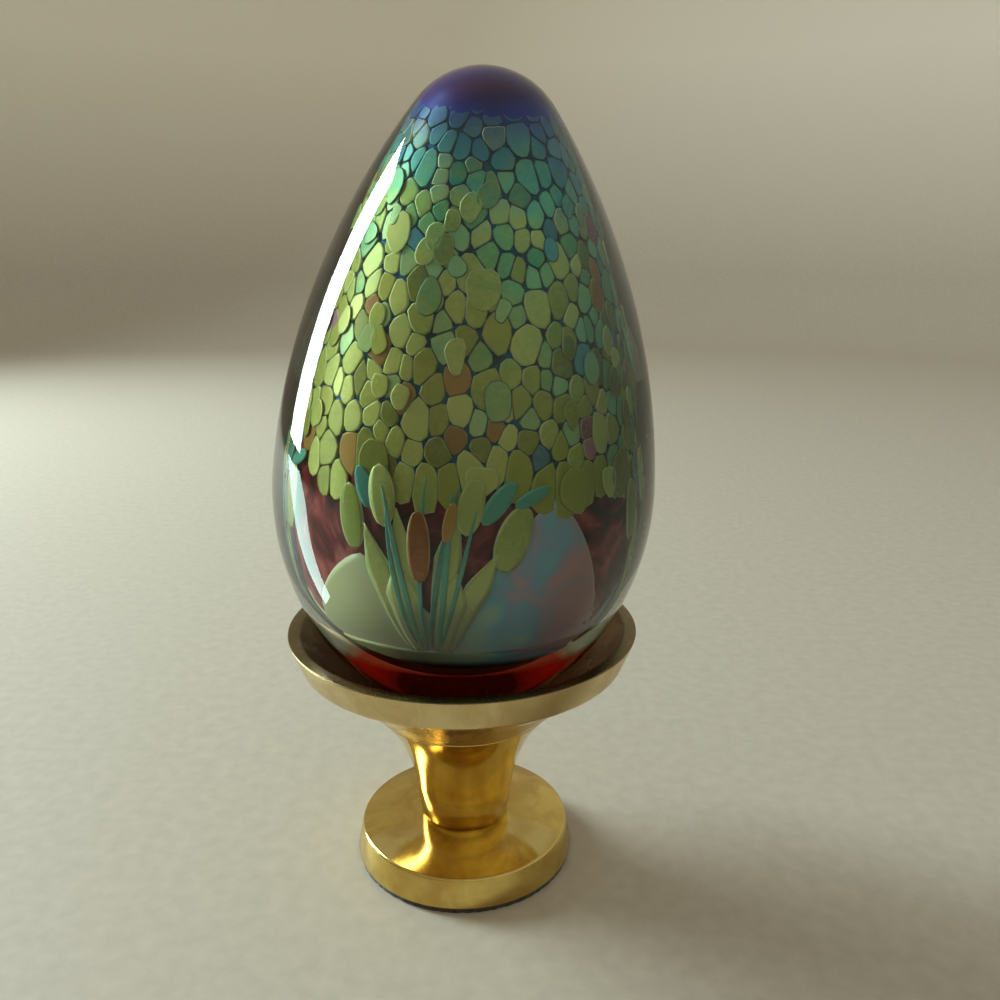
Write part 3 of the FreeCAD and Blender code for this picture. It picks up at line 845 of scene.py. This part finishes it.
veiled, veiled_tree, veiled_output = new_material("opal glass that thins out over ruby")
veiled_place = add(veiled_tree, "ShaderNodeTexCoord").outputs["Object"]
veiled_split = add(veiled_tree, "ShaderNodeSeparateXYZ", {0: veiled_place})
veil = add(veiled_tree, "ShaderNodeMapRange", {"Value": veiled_split.outputs[2],
                                               "From Min": core_pole + VEIL_LOW,
                                               "From Max": core_pole + VEIL_HIGH})
veiled_colour = add(veiled_tree, "ShaderNodeMix", {0: veil.outputs["Result"], 6: linear("#2c0806"),
                                                   7: opal_colours(veiled_tree, veiled_place)},
                    data_type="RGBA")
veiled_shader = add(veiled_tree, "ShaderNodeBsdfPrincipled", {"Base Color": veiled_colour.outputs[2],
                                                              "Roughness": 0.4, "Specular IOR Level": 0.1})
veiled_tree.links.new(veiled_shader.outputs[0], veiled_output.inputs["Surface"])
print("thin opal:", veiled.name)

# %% Opal ground
GROUND_HEIGHT = 3.2 * MM
GROUND_LIFT = 0.45 * MM
GROUND_SIDES = 96

ground_bm = settle(coat(0.0, core_turn_at(GROUND_HEIGHT), COAT_LOW, GROUND_LIFT, GROUND_SIDES))
finish_piece(ground_bm, "opal_ground_coat", veiled, "egg", ["opal_ground"])

# %% [markdown]
# ## Opal hills
# Four rounded hills stand round the foot of the core. Each one starts as a flat grid whose columns are
# stretched to the hill's outline. The sheet gets a thin wall, and then it is wrapped on. Each entry of HILLS
# is one hill: its angle in degrees, and its width and height in millimetres. A rounder hill would have a
# bend of 2, and a pointed one a bend of 1.

# %% Walled sheets
RIM_SHARE = 0.99


def add_layers(bm):
    """The two attributes that the lustred glasses read."""
    return bm.verts.layers.float.new("rim"), bm.verts.layers.float.new("shade")


def add_wall(bm, made, wall):
    """Gives a sheet's wall and returns the vertices of both its sides."""
    faces = list({face for vert in made for face in vert.link_faces})
    walled = bmesh.ops.solidify(bm, geom=faces, thickness=wall)["geom"]
    return list({vert for face in faces for vert in face.verts}
                | {part for part in walled if isinstance(part, bmesh.types.BMVert)})


print("a vertex past", RIM_SHARE, "of the way to an edge belongs to the rim")

# %% Opal hills
HILL_WALL = 0.2 * MM
HILL_LOW = 9.5 * MM
HILL_ACROSS = 22
HILL_ROWS = 14
HILL_BEND = 1.4
HILL_FULLNESS = 0.8
HILLS = ((38, 28, 27), (128, 26, 20), (218, 27, 23), (319, 29, 18))


def add_hill(bm, layers, width, height, wall):
    """A flat hill: a grid whose columns rise to a rounded outline."""
    rim = layers[0]
    made = bmesh.ops.create_grid(bm, x_segments=HILL_ACROSS, y_segments=HILL_ROWS, size=0.5)["verts"]
    for vert in made:
        side = vert.co.x * 2
        share = vert.co.y + 0.5
        crest = (1 - abs(side) ** HILL_BEND) ** HILL_FULLNESS
        vert[rim] = 1.0 if share > RIM_SHARE else 0.0
        vert.co = (side * width / 2, share * height * crest, wall)
    return add_wall(bm, made, wall)


hills_bm = bmesh.new()
hill_layers = add_layers(hills_bm)
for angle, width, height in HILLS:
    verts = add_hill(hills_bm, hill_layers, width * MM, height * MM, HILL_WALL)
    bmesh.ops.translate(hills_bm, verts=verts, vec=(0, 0, COAT_LOW))
    wrap(verts, HILL_LOW, math.radians(angle))
bmesh.ops.remove_doubles(hills_bm, verts=hills_bm.verts, dist=MERGE_DISTANCE)
settle(hills_bm)
bmesh.ops.recalc_face_normals(hills_bm, faces=hills_bm.faces)
finish_piece(hills_bm, "opal_hill_coat", opal, "egg", ["opal_hills"])

# %% [markdown]
# ## Canopy of melted chips
# Crushed coloured glass was picked up on the hot core, so the chips melted into flat rounded pebbles that
# crowd each other. To lay them out, seeds are scattered on the unrolled core, no closer than their sizes
# allow. There are fewer of them where the core is thin, and the chips are smaller towards the tip. The
# scatter is seeded, so every run gives the same egg. Its layout is this script's own.

# %% Scatter of the chips
CHIP_SEED = 11
CHIP_WIDTH = 2.85 * MM
CHIP_ASPECT = 1.5
CANOPY_LOW = 36 * MM
CANOPY_HIGH = 91.5 * MM
CANOPY_DROOP = 5.5 * MM
WIDEST_ALONG = 45 * MM
SCATTER_TRIES = 12000
CLOSEST_SHARE = 0.8
SIZE_SHARES = (0.75, 0.85, 0.95, 1.0, 1.1, 1.3)
LOW_SIZE_SHARE = 1.05
SIZE_LOST = 0.3


def hem_at(angle):
    """Where the canopy starts: its hem droops in three wide waves and seven narrow ones."""
    return CANOPY_LOW + CANOPY_DROOP * (0.5 + 0.3 * math.sin(3 * angle + 1) + 0.2 * math.sin(7 * angle))


def scatter_chips():
    """Seeds of the chips, each as along, angle, size share and shade."""
    draw = random.Random(CHIP_SEED)
    widest = max(core_radius(CANOPY_LOW), core_radius(WIDEST_ALONG))
    seeds = []
    for _ in range(SCATTER_TRIES):
        along = draw.uniform(CANOPY_LOW, CANOPY_HIGH)
        angle = draw.uniform(0, FULL_TURN)
        size = draw.choice(SIZE_SHARES)
        keep = draw.random()
        radius = core_radius(along)
        if keep * widest > radius or along < hem_at(angle):
            continue
        size *= LOW_SIZE_SHARE - SIZE_LOST * (along - CANOPY_LOW) / (CANOPY_HIGH - CANOPY_LOW)
        clear = True
        for other_along, other_angle, other_size, _ in seeds:
            rise = (along - other_along) / CHIP_ASPECT
            if abs(rise) > 2 * CHIP_WIDTH:
                continue
            round_by = math.remainder(angle - other_angle, FULL_TURN) * radius
            if math.hypot(rise, round_by) < CLOSEST_SHARE * CHIP_WIDTH * (size + other_size) / 2:
                clear = False
                break
        if clear:
            seeds.append((along, angle, size, draw.random()))
    return seeds


chip_seeds = scatter_chips()
print("chips:", len(chip_seeds))

# %% [markdown]
# Which glass a chip gets depends on where it lies: more teal and blue towards the tip, more olive and
# red-brown at the hem, and more lime on the left, the lamp's side, which is painted light. Near the hem at
# the front right, where the canopy lies in shade, many chips are blue: that is painted shade. Each weight
# says how likely a glass is, and the seeded draw picks one.

# %% Glass of each chip
# Painted light: more of the pale lime chips on the lamp's side, round this angle.
LIT_SIDE = math.radians(-70)
# Painted shade: more of the dark blue chips low at the front right, where the canopy lies in shade.
SHADED_HEM_HEIGHT = 0.16
SHADED_HEM_ANGLE = math.radians(30)


def chip_glass(along, angle, draw):
    """Draws the glass of a chip by its place."""
    rise = (along - CANOPY_LOW) / (CANOPY_HIGH - CANOPY_LOW)
    bright = 0.5 + 0.5 * math.cos(angle - LIT_SIDE)
    hem = max(0.0, 1 - rise / SHADED_HEM_HEIGHT) * max(0.0, math.cos(angle - SHADED_HEM_ANGLE)) ** 8
    weights = {
        "lime": (0.2 + 0.55 * bright) * (1.05 - 0.6 * rise),
        "olive": 0.8 * (1 - rise) ** 1.5,
        "teal": 0.03 + 0.6 * rise + 0.25 * (1 - bright),
        "blue": 0.01 + 0.16 * rise ** 2 + 0.7 * hem,
        "russet": 0.11 * (1 - rise),
        "plum": 0.05 * (1 - rise),
    }
    return draw.choices(list(weights), list(weights.values()))[0]


print("a trial chip:", chip_glass(CANOPY_HIGH, 0.0, random.Random(0)))

# %% [markdown]
# A chip reaches towards each neighbour up to its share of the way, as soap bubbles do, and a soft minimum
# over the neighbours rounds its corners. A higher exponent gives sharper corners.

# %% Borders of a chip
SOFTNESS = 11


def fences_of(seed, seeds):
    """Directions and distances of the borders with a chip's neighbours."""
    along, angle, size, _ = seed
    radius = core_radius(along)
    fences = []
    for other in seeds:
        rise = (other[0] - along) / CHIP_ASPECT
        round_by = math.remainder(other[1] - angle, FULL_TURN) * radius
        distance = math.hypot(rise, round_by)
        if 0 < distance < 3 * CHIP_WIDTH:
            fences.append((math.atan2(rise, round_by), distance * size / (size + other[2])))
    return fences


def reach(theta, fences, longest):
    """How far a chip reaches in a direction: a soft minimum over its borders."""
    total = longest ** -SOFTNESS
    for direction, distance in fences:
        facing = math.cos(theta - direction)
        if facing > 0:
            total += (facing / distance) ** SOFTNESS
    return total ** (-1 / SOFTNESS)


print("borders of the first chip:", len(fences_of(chip_seeds[0], chip_seeds)))

# %% [markdown]
# Each chip starts as a flat disc of 14 sides, whose vertices move out to the chip's reach. It is extruded to
# its height, and two insets make a sloping margin, which is drawn as a fine line, and a flat top. The side
# stays flat shaded and the top is smooth. Each step of CHIP_STEPS is a rim value, an inset and a share of
# the height.

# %% One chip
CHIP_SIDES = 14
CHIP_GAP = 0.05 * MM
LINE_WIDTH = 0.13 * MM
SIDE_RISE = 0.7
CHIP_STEPS = ((1.0, 0.0, SIDE_RISE), (0.7, LINE_WIDTH, 1.0), (0.0, LINE_WIDTH, 1.0))
LONGEST_SHARE = 0.9


def connected(start):
    """Every vertex that hangs together with one."""
    found = {start}
    waiting = [start]
    while waiting:
        for edge in waiting.pop().link_edges:
            for vert in edge.verts:
                if vert not in found:
                    found.add(vert)
                    waiting.append(vert)
    return found


def add_chip(bm, layers, seed, fences, height, lift):
    """One flat chip: a bottom, an upright side, a sloping margin and a flat top."""
    rim, tone = layers
    along, angle, size, shade = seed
    made = bmesh.ops.create_circle(bm, cap_ends=True, segments=CHIP_SIDES, radius=1.0)["verts"]
    longest = LONGEST_SHARE * CHIP_WIDTH * size
    for vert in made:
        theta = math.atan2(vert.co.y, vert.co.x)
        length = max(reach(theta, fences, longest) - CHIP_GAP / 2, 2 * LINE_WIDTH)
        vert.co = (length * math.cos(theta), length * math.sin(theta) * CHIP_ASPECT, lift)
        vert[rim] = 1.0
        vert[tone] = shade
    bottom = made[0].link_faces[0]
    grown = bmesh.ops.extrude_face_region(bm, geom=[bottom], use_keep_orig=True)["geom"]
    top = [part for part in grown if isinstance(part, bmesh.types.BMFace)]
    for value, inset, rise in CHIP_STEPS:
        if inset:
            bmesh.ops.inset_region(bm, faces=top, thickness=inset, use_even_offset=True)
        for vert in top[0].verts:
            vert[rim] = value
            vert[tone] = shade
            vert.co.z = lift + height * rise
    shaped = connected(made[0])
    for face in {face for vert in shaped for face in vert.link_faces}:
        face.smooth = max(vert.co.z for vert in face.verts) > lift + height * SIDE_RISE + MERGE_DISTANCE
    wrap(shaped, along, angle)


print("a chip has", CHIP_SIDES, "sides and", len(CHIP_STEPS), "steps")

# %% [markdown]
# The chips of one glass share a mesh. Every fifth chip, except near the tip, also carries a thin chip that
# lies half over it, because on the real egg some chips landed on others. Four random limits shape it.

# %% Canopy
CHIP_HEIGHT = 0.3 * MM
OVERLAP_EVERY = 5
OVERLAP_SIZE = 0.75
OVERLAP_HIGH = 80 * MM
OVERLAP_REACH = (0.4, 0.75)
OVERLAP_LIMITS = 4
OVERLAP_LIFT = COAT_LOW + 1.45 * CHIP_HEIGHT
THIN_CHIP = 0.1 * MM

canopy_bms = {glass: bmesh.new() for glass in glasses}
canopy_layers = {glass: add_layers(bm) for glass, bm in canopy_bms.items()}
chip_draw = random.Random(CHIP_SEED + 1)
for seed in chip_seeds:
    glass = chip_glass(seed[0], seed[1], chip_draw)
    add_chip(canopy_bms[glass], canopy_layers[glass], seed, fences_of(seed, chip_seeds),
             CHIP_HEIGHT * chip_draw.uniform(0.7, 1.3), COAT_LOW)
for seed in chip_seeds[::OVERLAP_EVERY]:
    along, angle, size, shade = seed
    if along > OVERLAP_HIGH:
        continue
    spot = (along - CHIP_WIDTH / 2, angle + CHIP_WIDTH / 2 / core_radius(along), size * OVERLAP_SIZE, shade)
    glass = chip_glass(along, angle, chip_draw)
    limits = [(chip_draw.uniform(0, FULL_TURN), CHIP_WIDTH * size * chip_draw.uniform(*OVERLAP_REACH))
              for _ in range(OVERLAP_LIMITS)]
    add_chip(canopy_bms[glass], canopy_layers[glass], spot, limits, THIN_CHIP, OVERLAP_LIFT)
for glass, bm in canopy_bms.items():
    settle(bm)
    bmesh.ops.recalc_face_normals(bm, faces=bm.faces)
    finish_piece(bm, "melted_" + glass + "_chips", glasses[glass], "egg", [glass + "_chips"],
                 smooth=None)

# %% [markdown]
# ## Blades, threads and petals
# Between the hills and the chips stand three clumps of pulled glass: broad green blades, thin teal threads
# and small ovals. A hot rod is touched to the core and drawn out, which leaves a flat strip with a pointed
# end. Each is a narrow grid with a wall, bent along a curve and wrapped on. An outline says how wide a strip
# is at each share of its length.

# %% Outlines of the strips
BLUNT_END = 0.02 * MM


def blade_outline(width):
    """Pointed at both ends."""
    return lambda share: width / 2 * math.sin(math.pi * min(0.03 + share * 0.95, 0.995)) ** 0.7


def wedge_outline(width):
    """Widens evenly from its foot, then ends in a point, as a flattened strip does."""
    return lambda share: width / 2 * max(0.04, min((0.25 + share) / 0.95, (1.0 - share) / 0.3)) ** 0.9


def round_outline(width):
    """An oval, whose ends are blunt enough to hold a wall."""
    return lambda share: width / 2 * math.sqrt(max(0.0, 1 - (2 * share - 1) ** 2)) + BLUNT_END


print("half widths of a 4 mm wedge:", [round(wedge_outline(4)(share), 2) for share in (0.0, 0.5, 1.0)])

# %% Strips and clumps
leaf_glass = lustred_glass("leaf green lustred glass", "#8ca048", "#d4e088", "#f0f6c8", 0.25, "#f0f0b4")
thread_glass = lustred_glass("teal pulled glass", "#1c8488", "#5cc4b4", "#8fe0d0", 0.1)
amber_glass = lustred_glass("amber lustred glass", "#b8681c", "#e8ac50", "#f4dc98", 0.0)
STRIP_WALL = 0.16 * MM
STRIP_ROWS = 16
STRIP_ACROSS = 5
CURL_LENGTH = 20 * MM
CLUMP_FOOT = 15 * MM
CLUMP_SEED = 5
clump_draw = random.Random(CLUMP_SEED)


def add_strip(bm, layers, length, half_width, shade):
    """A flat closed strip along y from 0. half_width says how wide it is at each share of its length."""
    rim, tone = layers
    made = bmesh.ops.create_grid(bm, x_segments=STRIP_ACROSS, y_segments=STRIP_ROWS, size=0.5)["verts"]
    for vert in made:
        share = vert.co.y + 0.5
        side = vert.co.x * 2
        edge = max(abs(side), abs(2 * share - 1))
        vert[rim] = 1.0 if edge > RIM_SHARE else 0.0
        vert[tone] = shade
        vert.co = (side * half_width(share), share * length, STRIP_WALL)
    return add_wall(bm, made, STRIP_WALL)


def bend(verts, foot_x, foot_y, lean, curl):
    """Leans a strip sideways and curls its end, then moves it to its foot."""
    for vert in verts:
        along = vert.co.y
        across = vert.co.x
        angle = lean + curl * along
        vert.co.x = foot_x + along * math.sin(angle) + across * math.cos(angle)
        vert.co.y = foot_y + along * math.cos(angle) - across * math.sin(angle)


def clump(bm, layers, angle, strips):
    """Adds one clump's strips of one glass."""
    for length, width, lean, curl, foot_x, foot_y, lift, outline in strips:
        verts = add_strip(bm, layers, length * MM, outline(width * MM), clump_draw.random())
        bend(verts, foot_x * MM, foot_y * MM, math.radians(lean), math.radians(curl) / CURL_LENGTH)
        for vert in verts:
            vert.co.z += lift * MM
        wrap(verts, CLUMP_FOOT, math.radians(angle))


print("strips of", STRIP_ROWS, "rows and", STRIP_ACROSS, "columns, in", leaf_glass.name, "and others")

# %% [markdown]
# Each entry of a table below is one strip of a clump: its length and width, its lean and its curl over
# 20 mm, how far beside and above the clump's foot it starts, its lift off the core and its outline. Lengths
# are in millimetres and angles in degrees. The same clump stands at three places round the egg.

# %% Blades, threads and petals
CLUMP_ANGLES = (-12, 122, 236)
BLADES = ((20, 3.6, -15, -4, -1.9, -2, 0.5, wedge_outline), (18, 3.2, 17, 6, 2.0, -2, 0.5, wedge_outline),
          (23, 3.4, 4, 3, 1.0, -2, 0.52, wedge_outline), (22, 3.6, -6, -2, -0.9, -2, 0.54, wedge_outline),
          (15, 4.6, -9, 0, -1.2, -2, 0.6, wedge_outline), (14, 4.2, 9, 2, 1.4, -2, 0.6, wedge_outline),
          (9, 3.8, -10, 0, -9.6, 13, 0.5, round_outline), (9.5, 4.4, 16, 0, 9.4, 12, 0.5, round_outline),
          (8, 3.2, 6, 0, 4.8, 17, 0.66, round_outline), (8.5, 3.6, -8, 0, -5.4, 17, 0.66, round_outline))
THREADS = ((24, 0.7, -9, -3, -0.8, -1, 0.76, blade_outline),
           (26, 0.6, -3, 2, -0.3, -1.5, 0.76, blade_outline),
           (25, 0.7, 4, 3, 0.3, -1, 0.76, blade_outline), (24, 0.8, 9, -4, 1.0, -1.5, 0.76, blade_outline),
           (20, 0.6, -16, 5, -1.5, 0, 0.76, blade_outline), (21, 0.6, 15, -3, 1.6, 0, 0.76, blade_outline),
           (6, 2.4, -20, 0, -7.6, 19, 0.6, round_outline), (7, 2.6, 30, 0, 6.8, 18.5, 0.6, round_outline),
           (5, 2.0, 60, 0, 10.6, 21, 0.6, round_outline))
PETALS = ((10, 2.9, -3, 0, -0.6, 10, 0.8, round_outline), (5.5, 1.5, 8, 0, 2.4, 16, 0.8, round_outline))
for name, strips, material, node_name, slot_name in (
        ("pulled_leaf_blades", BLADES, leaf_glass, "leaf_blades", "leaf_glass"),
        ("pulled_teal_threads", THREADS, thread_glass, "teal_stems", "teal_glass"),
        ("pulled_amber_petals", PETALS, amber_glass, "amber_petals", "amber_glass")):
    bm = bmesh.new()
    layers = add_layers(bm)
    for angle in CLUMP_ANGLES:
        clump(bm, layers, angle, strips)
    settle(bm)
    bmesh.ops.recalc_face_normals(bm, faces=bm.faces)
    finish_piece(bm, name, material, "egg", [node_name])

# %% [markdown]
# ## Seed bubbles
# A few tiny air bubbles were caught when the clear glass was gathered over the core. A bubble is a hole in
# the glass, so its surface bends light the other way: the IOR is that of air seen from glass, 1 / 1.5.

# %% Seed bubbles
AIR_SEEN_FROM_GLASS = 0.667
BUBBLE_SEED = 3
BUBBLE_COUNT = 16
BUBBLE_RADII = (0.12, 0.4)
BUBBLE_ALONG = (18, 42)
BUBBLE_ANGLES = (55, 125)
BUBBLE_LIFTS = (1.6, 5)

bubble_air, bubble_tree, bubble_output = new_material("air bubbles in glass")
bubble_shader = add(bubble_tree, "ShaderNodeBsdfPrincipled", {"Roughness": 0.0, "IOR": AIR_SEEN_FROM_GLASS,
                                                              "Transmission Weight": 1.0})
bubble_tree.links.new(bubble_shader.outputs[0], bubble_output.inputs["Surface"])
bubble_draw = random.Random(BUBBLE_SEED)
bubbles_bm = bmesh.new()
for _ in range(BUBBLE_COUNT):
    radius = bubble_draw.uniform(*BUBBLE_RADII) * MM
    made = bmesh.ops.create_icosphere(bubbles_bm, subdivisions=2, radius=radius)
    along = bubble_draw.uniform(*BUBBLE_ALONG) * MM
    angle = math.radians(bubble_draw.uniform(*BUBBLE_ANGLES))
    spot = on_core(along, angle, bubble_draw.uniform(*BUBBLE_LIFTS) * MM)
    bmesh.ops.translate(bubbles_bm, verts=made["verts"], vec=spot)
settle(bubbles_bm)
finish_piece(bubbles_bm, "seed_bubbles", bubble_air, "egg")

# %% [markdown]
# ## Floor
# The object stands on a plain pale floor that curves up into a low round wall, so that there is no hard
# horizon behind the glass. The paint is matt, with a fine grain, and it grows paler up the wall, where less
# light reaches it.

# %% Floor
FLOOR_RADIUS = 0.95
WALL_CURVE = 0.4
WALL_TOP = 1.1
CURVE_STEP = 0.02
FLOOR_SIDES = 96
FLOOR_GRAIN = 3 * MM
FLOOR_GRAIN_DEPTH = 0.2 * MM
PAINT_LOW = 0.08
PAINT_HIGH = 0.4

floor_paint, floor_tree, floor_output = new_material("matt painted backdrop")
floor_place = add(floor_tree, "ShaderNodeTexCoord").outputs["Object"]
grain = add(floor_tree, "ShaderNodeTexNoise", {"Vector": floor_place, "Scale": 1 / FLOOR_GRAIN,
                                               "Detail": 4.0})
floor_colour = add(floor_tree, "ShaderNodeValToRGB", {"Fac": grain.outputs["Fac"]},
                   stops=[(0.3, linear("#c0b8a6")), (0.7, linear("#cac2b0"))])
floor_split = add(floor_tree, "ShaderNodeSeparateXYZ", {0: floor_place})
floor_rise = add(floor_tree, "ShaderNodeMapRange", {"Value": floor_split.outputs[2], "From Min": PAINT_LOW,
                                                    "From Max": PAINT_HIGH})
floor_paled = add(floor_tree, "ShaderNodeMix", {0: floor_rise.outputs["Result"],
                                                6: floor_colour.outputs["Color"],
                                                7: linear("#fdf6e6")}, data_type="RGBA")
floor_bump = add(floor_tree, "ShaderNodeBump", {"Height": grain.outputs["Fac"], "Strength": 0.15,
                                                "Distance": FLOOR_GRAIN_DEPTH})
floor_shader = add(floor_tree, "ShaderNodeBsdfPrincipled", {"Base Color": floor_paled.outputs[2],
                                                            "Roughness": 0.6,
                                                            "Normal": floor_bump.outputs["Normal"]})
floor_tree.links.new(floor_shader.outputs[0], floor_output.inputs["Surface"])

floor_bm = (Lathe(0, 0).line(FLOOR_RADIUS, 0).arc(FLOOR_RADIUS, WALL_CURVE, math.pi / 2, CURVE_STEP)
            .line(FLOOR_RADIUS + WALL_CURVE, WALL_TOP).turn(FLOOR_SIDES))
floor_mesh = bpy.data.meshes.new("floor")
floor_bm.to_mesh(floor_mesh)
floor_bm.free()
floor_mesh.polygons.foreach_set("use_smooth", [True] * len(floor_mesh.polygons))
floor_mesh.materials.append(floor_paint)
floor = bpy.data.objects.new("floor", floor_mesh)
bpy.context.scene.collection.objects.link(floor)
print("floor radius:", FLOOR_RADIUS, "m")

# %% [markdown]
# ## Cards
# Photographers put cards round a glass object, just outside the picture. A dark card bent into a ring makes
# the clear edges read dark, so that the egg's shape shows, and only rays that passed through the glass see
# it. A long light card lies on the table at the left. It carries the lamp's streak on down the side of the
# egg and draws a bright line on the brass. Only mirror-like rays see it, and only from above. Neither card
# throws light or shadow on the floor.

# %% Dark card
DARK_CARD_RADIUS = 0.14
DARK_CARD_HEIGHT = 0.08
DARK_CARD_SIDES = 64
PAPER_CLOUD = 40 * MM


def add_card(bm, name, material, hidden_from):
    """Makes a bmesh into a card of the studio that some kinds of rays don't see."""
    mesh = bpy.data.meshes.new(name)
    bm.to_mesh(mesh)
    bm.free()
    mesh.materials.append(material)
    card = bpy.data.objects.new(name, mesh)
    bpy.context.scene.collection.objects.link(card)
    for kind in hidden_from:
        setattr(card, "visible_" + kind, False)
    print(name, "hidden from rays of the kinds", ", ".join(hidden_from))


dark_paper, dark_tree, dark_output = new_material("matt grey card")
dark_place = add(dark_tree, "ShaderNodeTexCoord").outputs["Object"]
dark_grain = add(dark_tree, "ShaderNodeTexNoise", {"Vector": dark_place, "Scale": 1 / PAPER_CLOUD})
dark_colour = add(dark_tree, "ShaderNodeValToRGB", {"Fac": dark_grain.outputs["Fac"]},
                  stops=[(0.3, linear("#4c5044")), (0.7, linear("#585c4e"))])
dark_shader = add(dark_tree, "ShaderNodeBsdfDiffuse", {"Color": dark_colour.outputs["Color"]})
dark_tree.links.new(dark_shader.outputs[0], dark_output.inputs["Surface"])
dark_bm = Lathe(DARK_CARD_RADIUS, 0).line(DARK_CARD_RADIUS, DARK_CARD_HEIGHT).turn(DARK_CARD_SIDES)
add_card(dark_bm, "dark_card", dark_paper, ("camera", "diffuse", "glossy", "shadow"))

# %% Light card
LIGHT_CARD_NEAR = Vector((-0.09, -0.005, 0.002))
LIGHT_CARD_FAR = Vector((-0.86, 0.37, 0.002))
LIGHT_CARD_WIDTHS = (0.014, 0.25)
LIGHT_CARD_BOW = 0.05
LIGHT_CARD_ROWS = 8
LIGHT_CARD_STRENGTH = 8.0

light_paper, light_tree, light_output = new_material("window-lit white card")
light_glow = add(light_tree, "ShaderNodeEmission", {"Color": linear("#d8fff4"),
                                                    "Strength": LIGHT_CARD_STRENGTH})
light_through = add(light_tree, "ShaderNodeBsdfTransparent")
light_back = add(light_tree, "ShaderNodeNewGeometry").outputs["Backfacing"]
light_sides = add(light_tree, "ShaderNodeMixShader", {0: light_back, 1: light_glow.outputs[0],
                                                      2: light_through.outputs[0]})
light_tree.links.new(light_sides.outputs[0], light_output.inputs["Surface"])
light_bm = bmesh.new()
card_way = LIGHT_CARD_FAR - LIGHT_CARD_NEAR
card_side = Vector((card_way.y, -card_way.x, 0)).normalized()
for vert in bmesh.ops.create_grid(light_bm, x_segments=1, y_segments=LIGHT_CARD_ROWS, size=0.5)["verts"]:
    share = vert.co.y + 0.5
    width = LIGHT_CARD_WIDTHS[0] + (LIGHT_CARD_WIDTHS[1] - LIGHT_CARD_WIDTHS[0]) * share
    sideways = vert.co.x * width - LIGHT_CARD_BOW * math.sin(math.pi * share)
    vert.co = LIGHT_CARD_NEAR + card_way * share + card_side * sideways
add_card(light_bm, "light_card", light_paper, ("camera", "diffuse", "transmission", "shadow"))

# %% [markdown]
# ## Lamp and world
# One tall soft lamp stands on the left, a little behind the object, as a window would, and the dim world
# fills the rest. That leaves the brass and the glass something bright and something dark to reflect. The
# lamp's shape matters, because the polished glass shows it as a streak. The camera doesn't see the lamp.

# %% Window lamp
LAMP_PLACE = Vector((-0.71, 0.34, 0.36))
LAMP_TARGET = Vector((0, 0.11, 0.07))
LAMP_WIDTH = 0.23
LAMP_HEIGHT = 0.68
LAMP_WATTS = 7.5
LAMP_SPREAD = math.radians(155)

lamp = bpy.data.lights.new("window_lamp", "AREA")
lamp.shape = "RECTANGLE"
lamp.size = LAMP_WIDTH
lamp.size_y = LAMP_HEIGHT
lamp.energy = LAMP_WATTS
lamp.spread = LAMP_SPREAD
lamp.color = linear("#e8fbff")[:3]
window_lamp = bpy.data.objects.new("window_lamp", lamp)
window_lamp.location = LAMP_PLACE
window_lamp.rotation_euler = (LAMP_TARGET - LAMP_PLACE).to_track_quat("-Z", "Y").to_euler()
window_lamp.visible_camera = False
window_lamp.visible_transmission = False
bpy.context.scene.collection.objects.link(window_lamp)
print("window lamp of", LAMP_WATTS, "W")

# %% World and view
WORLD_STRENGTH = 0.66

world = bpy.data.worlds.new("studio")
world.use_nodes = True
bpy.context.scene.world = world
world.node_tree.nodes["Background"].inputs["Color"].default_value = linear("#c9c6c0")
world.node_tree.nodes["Background"].inputs["Strength"].default_value = WORLD_STRENGTH
bpy.context.scene.view_settings.view_transform = "Standard"
print("world strength:", WORLD_STRENGTH)
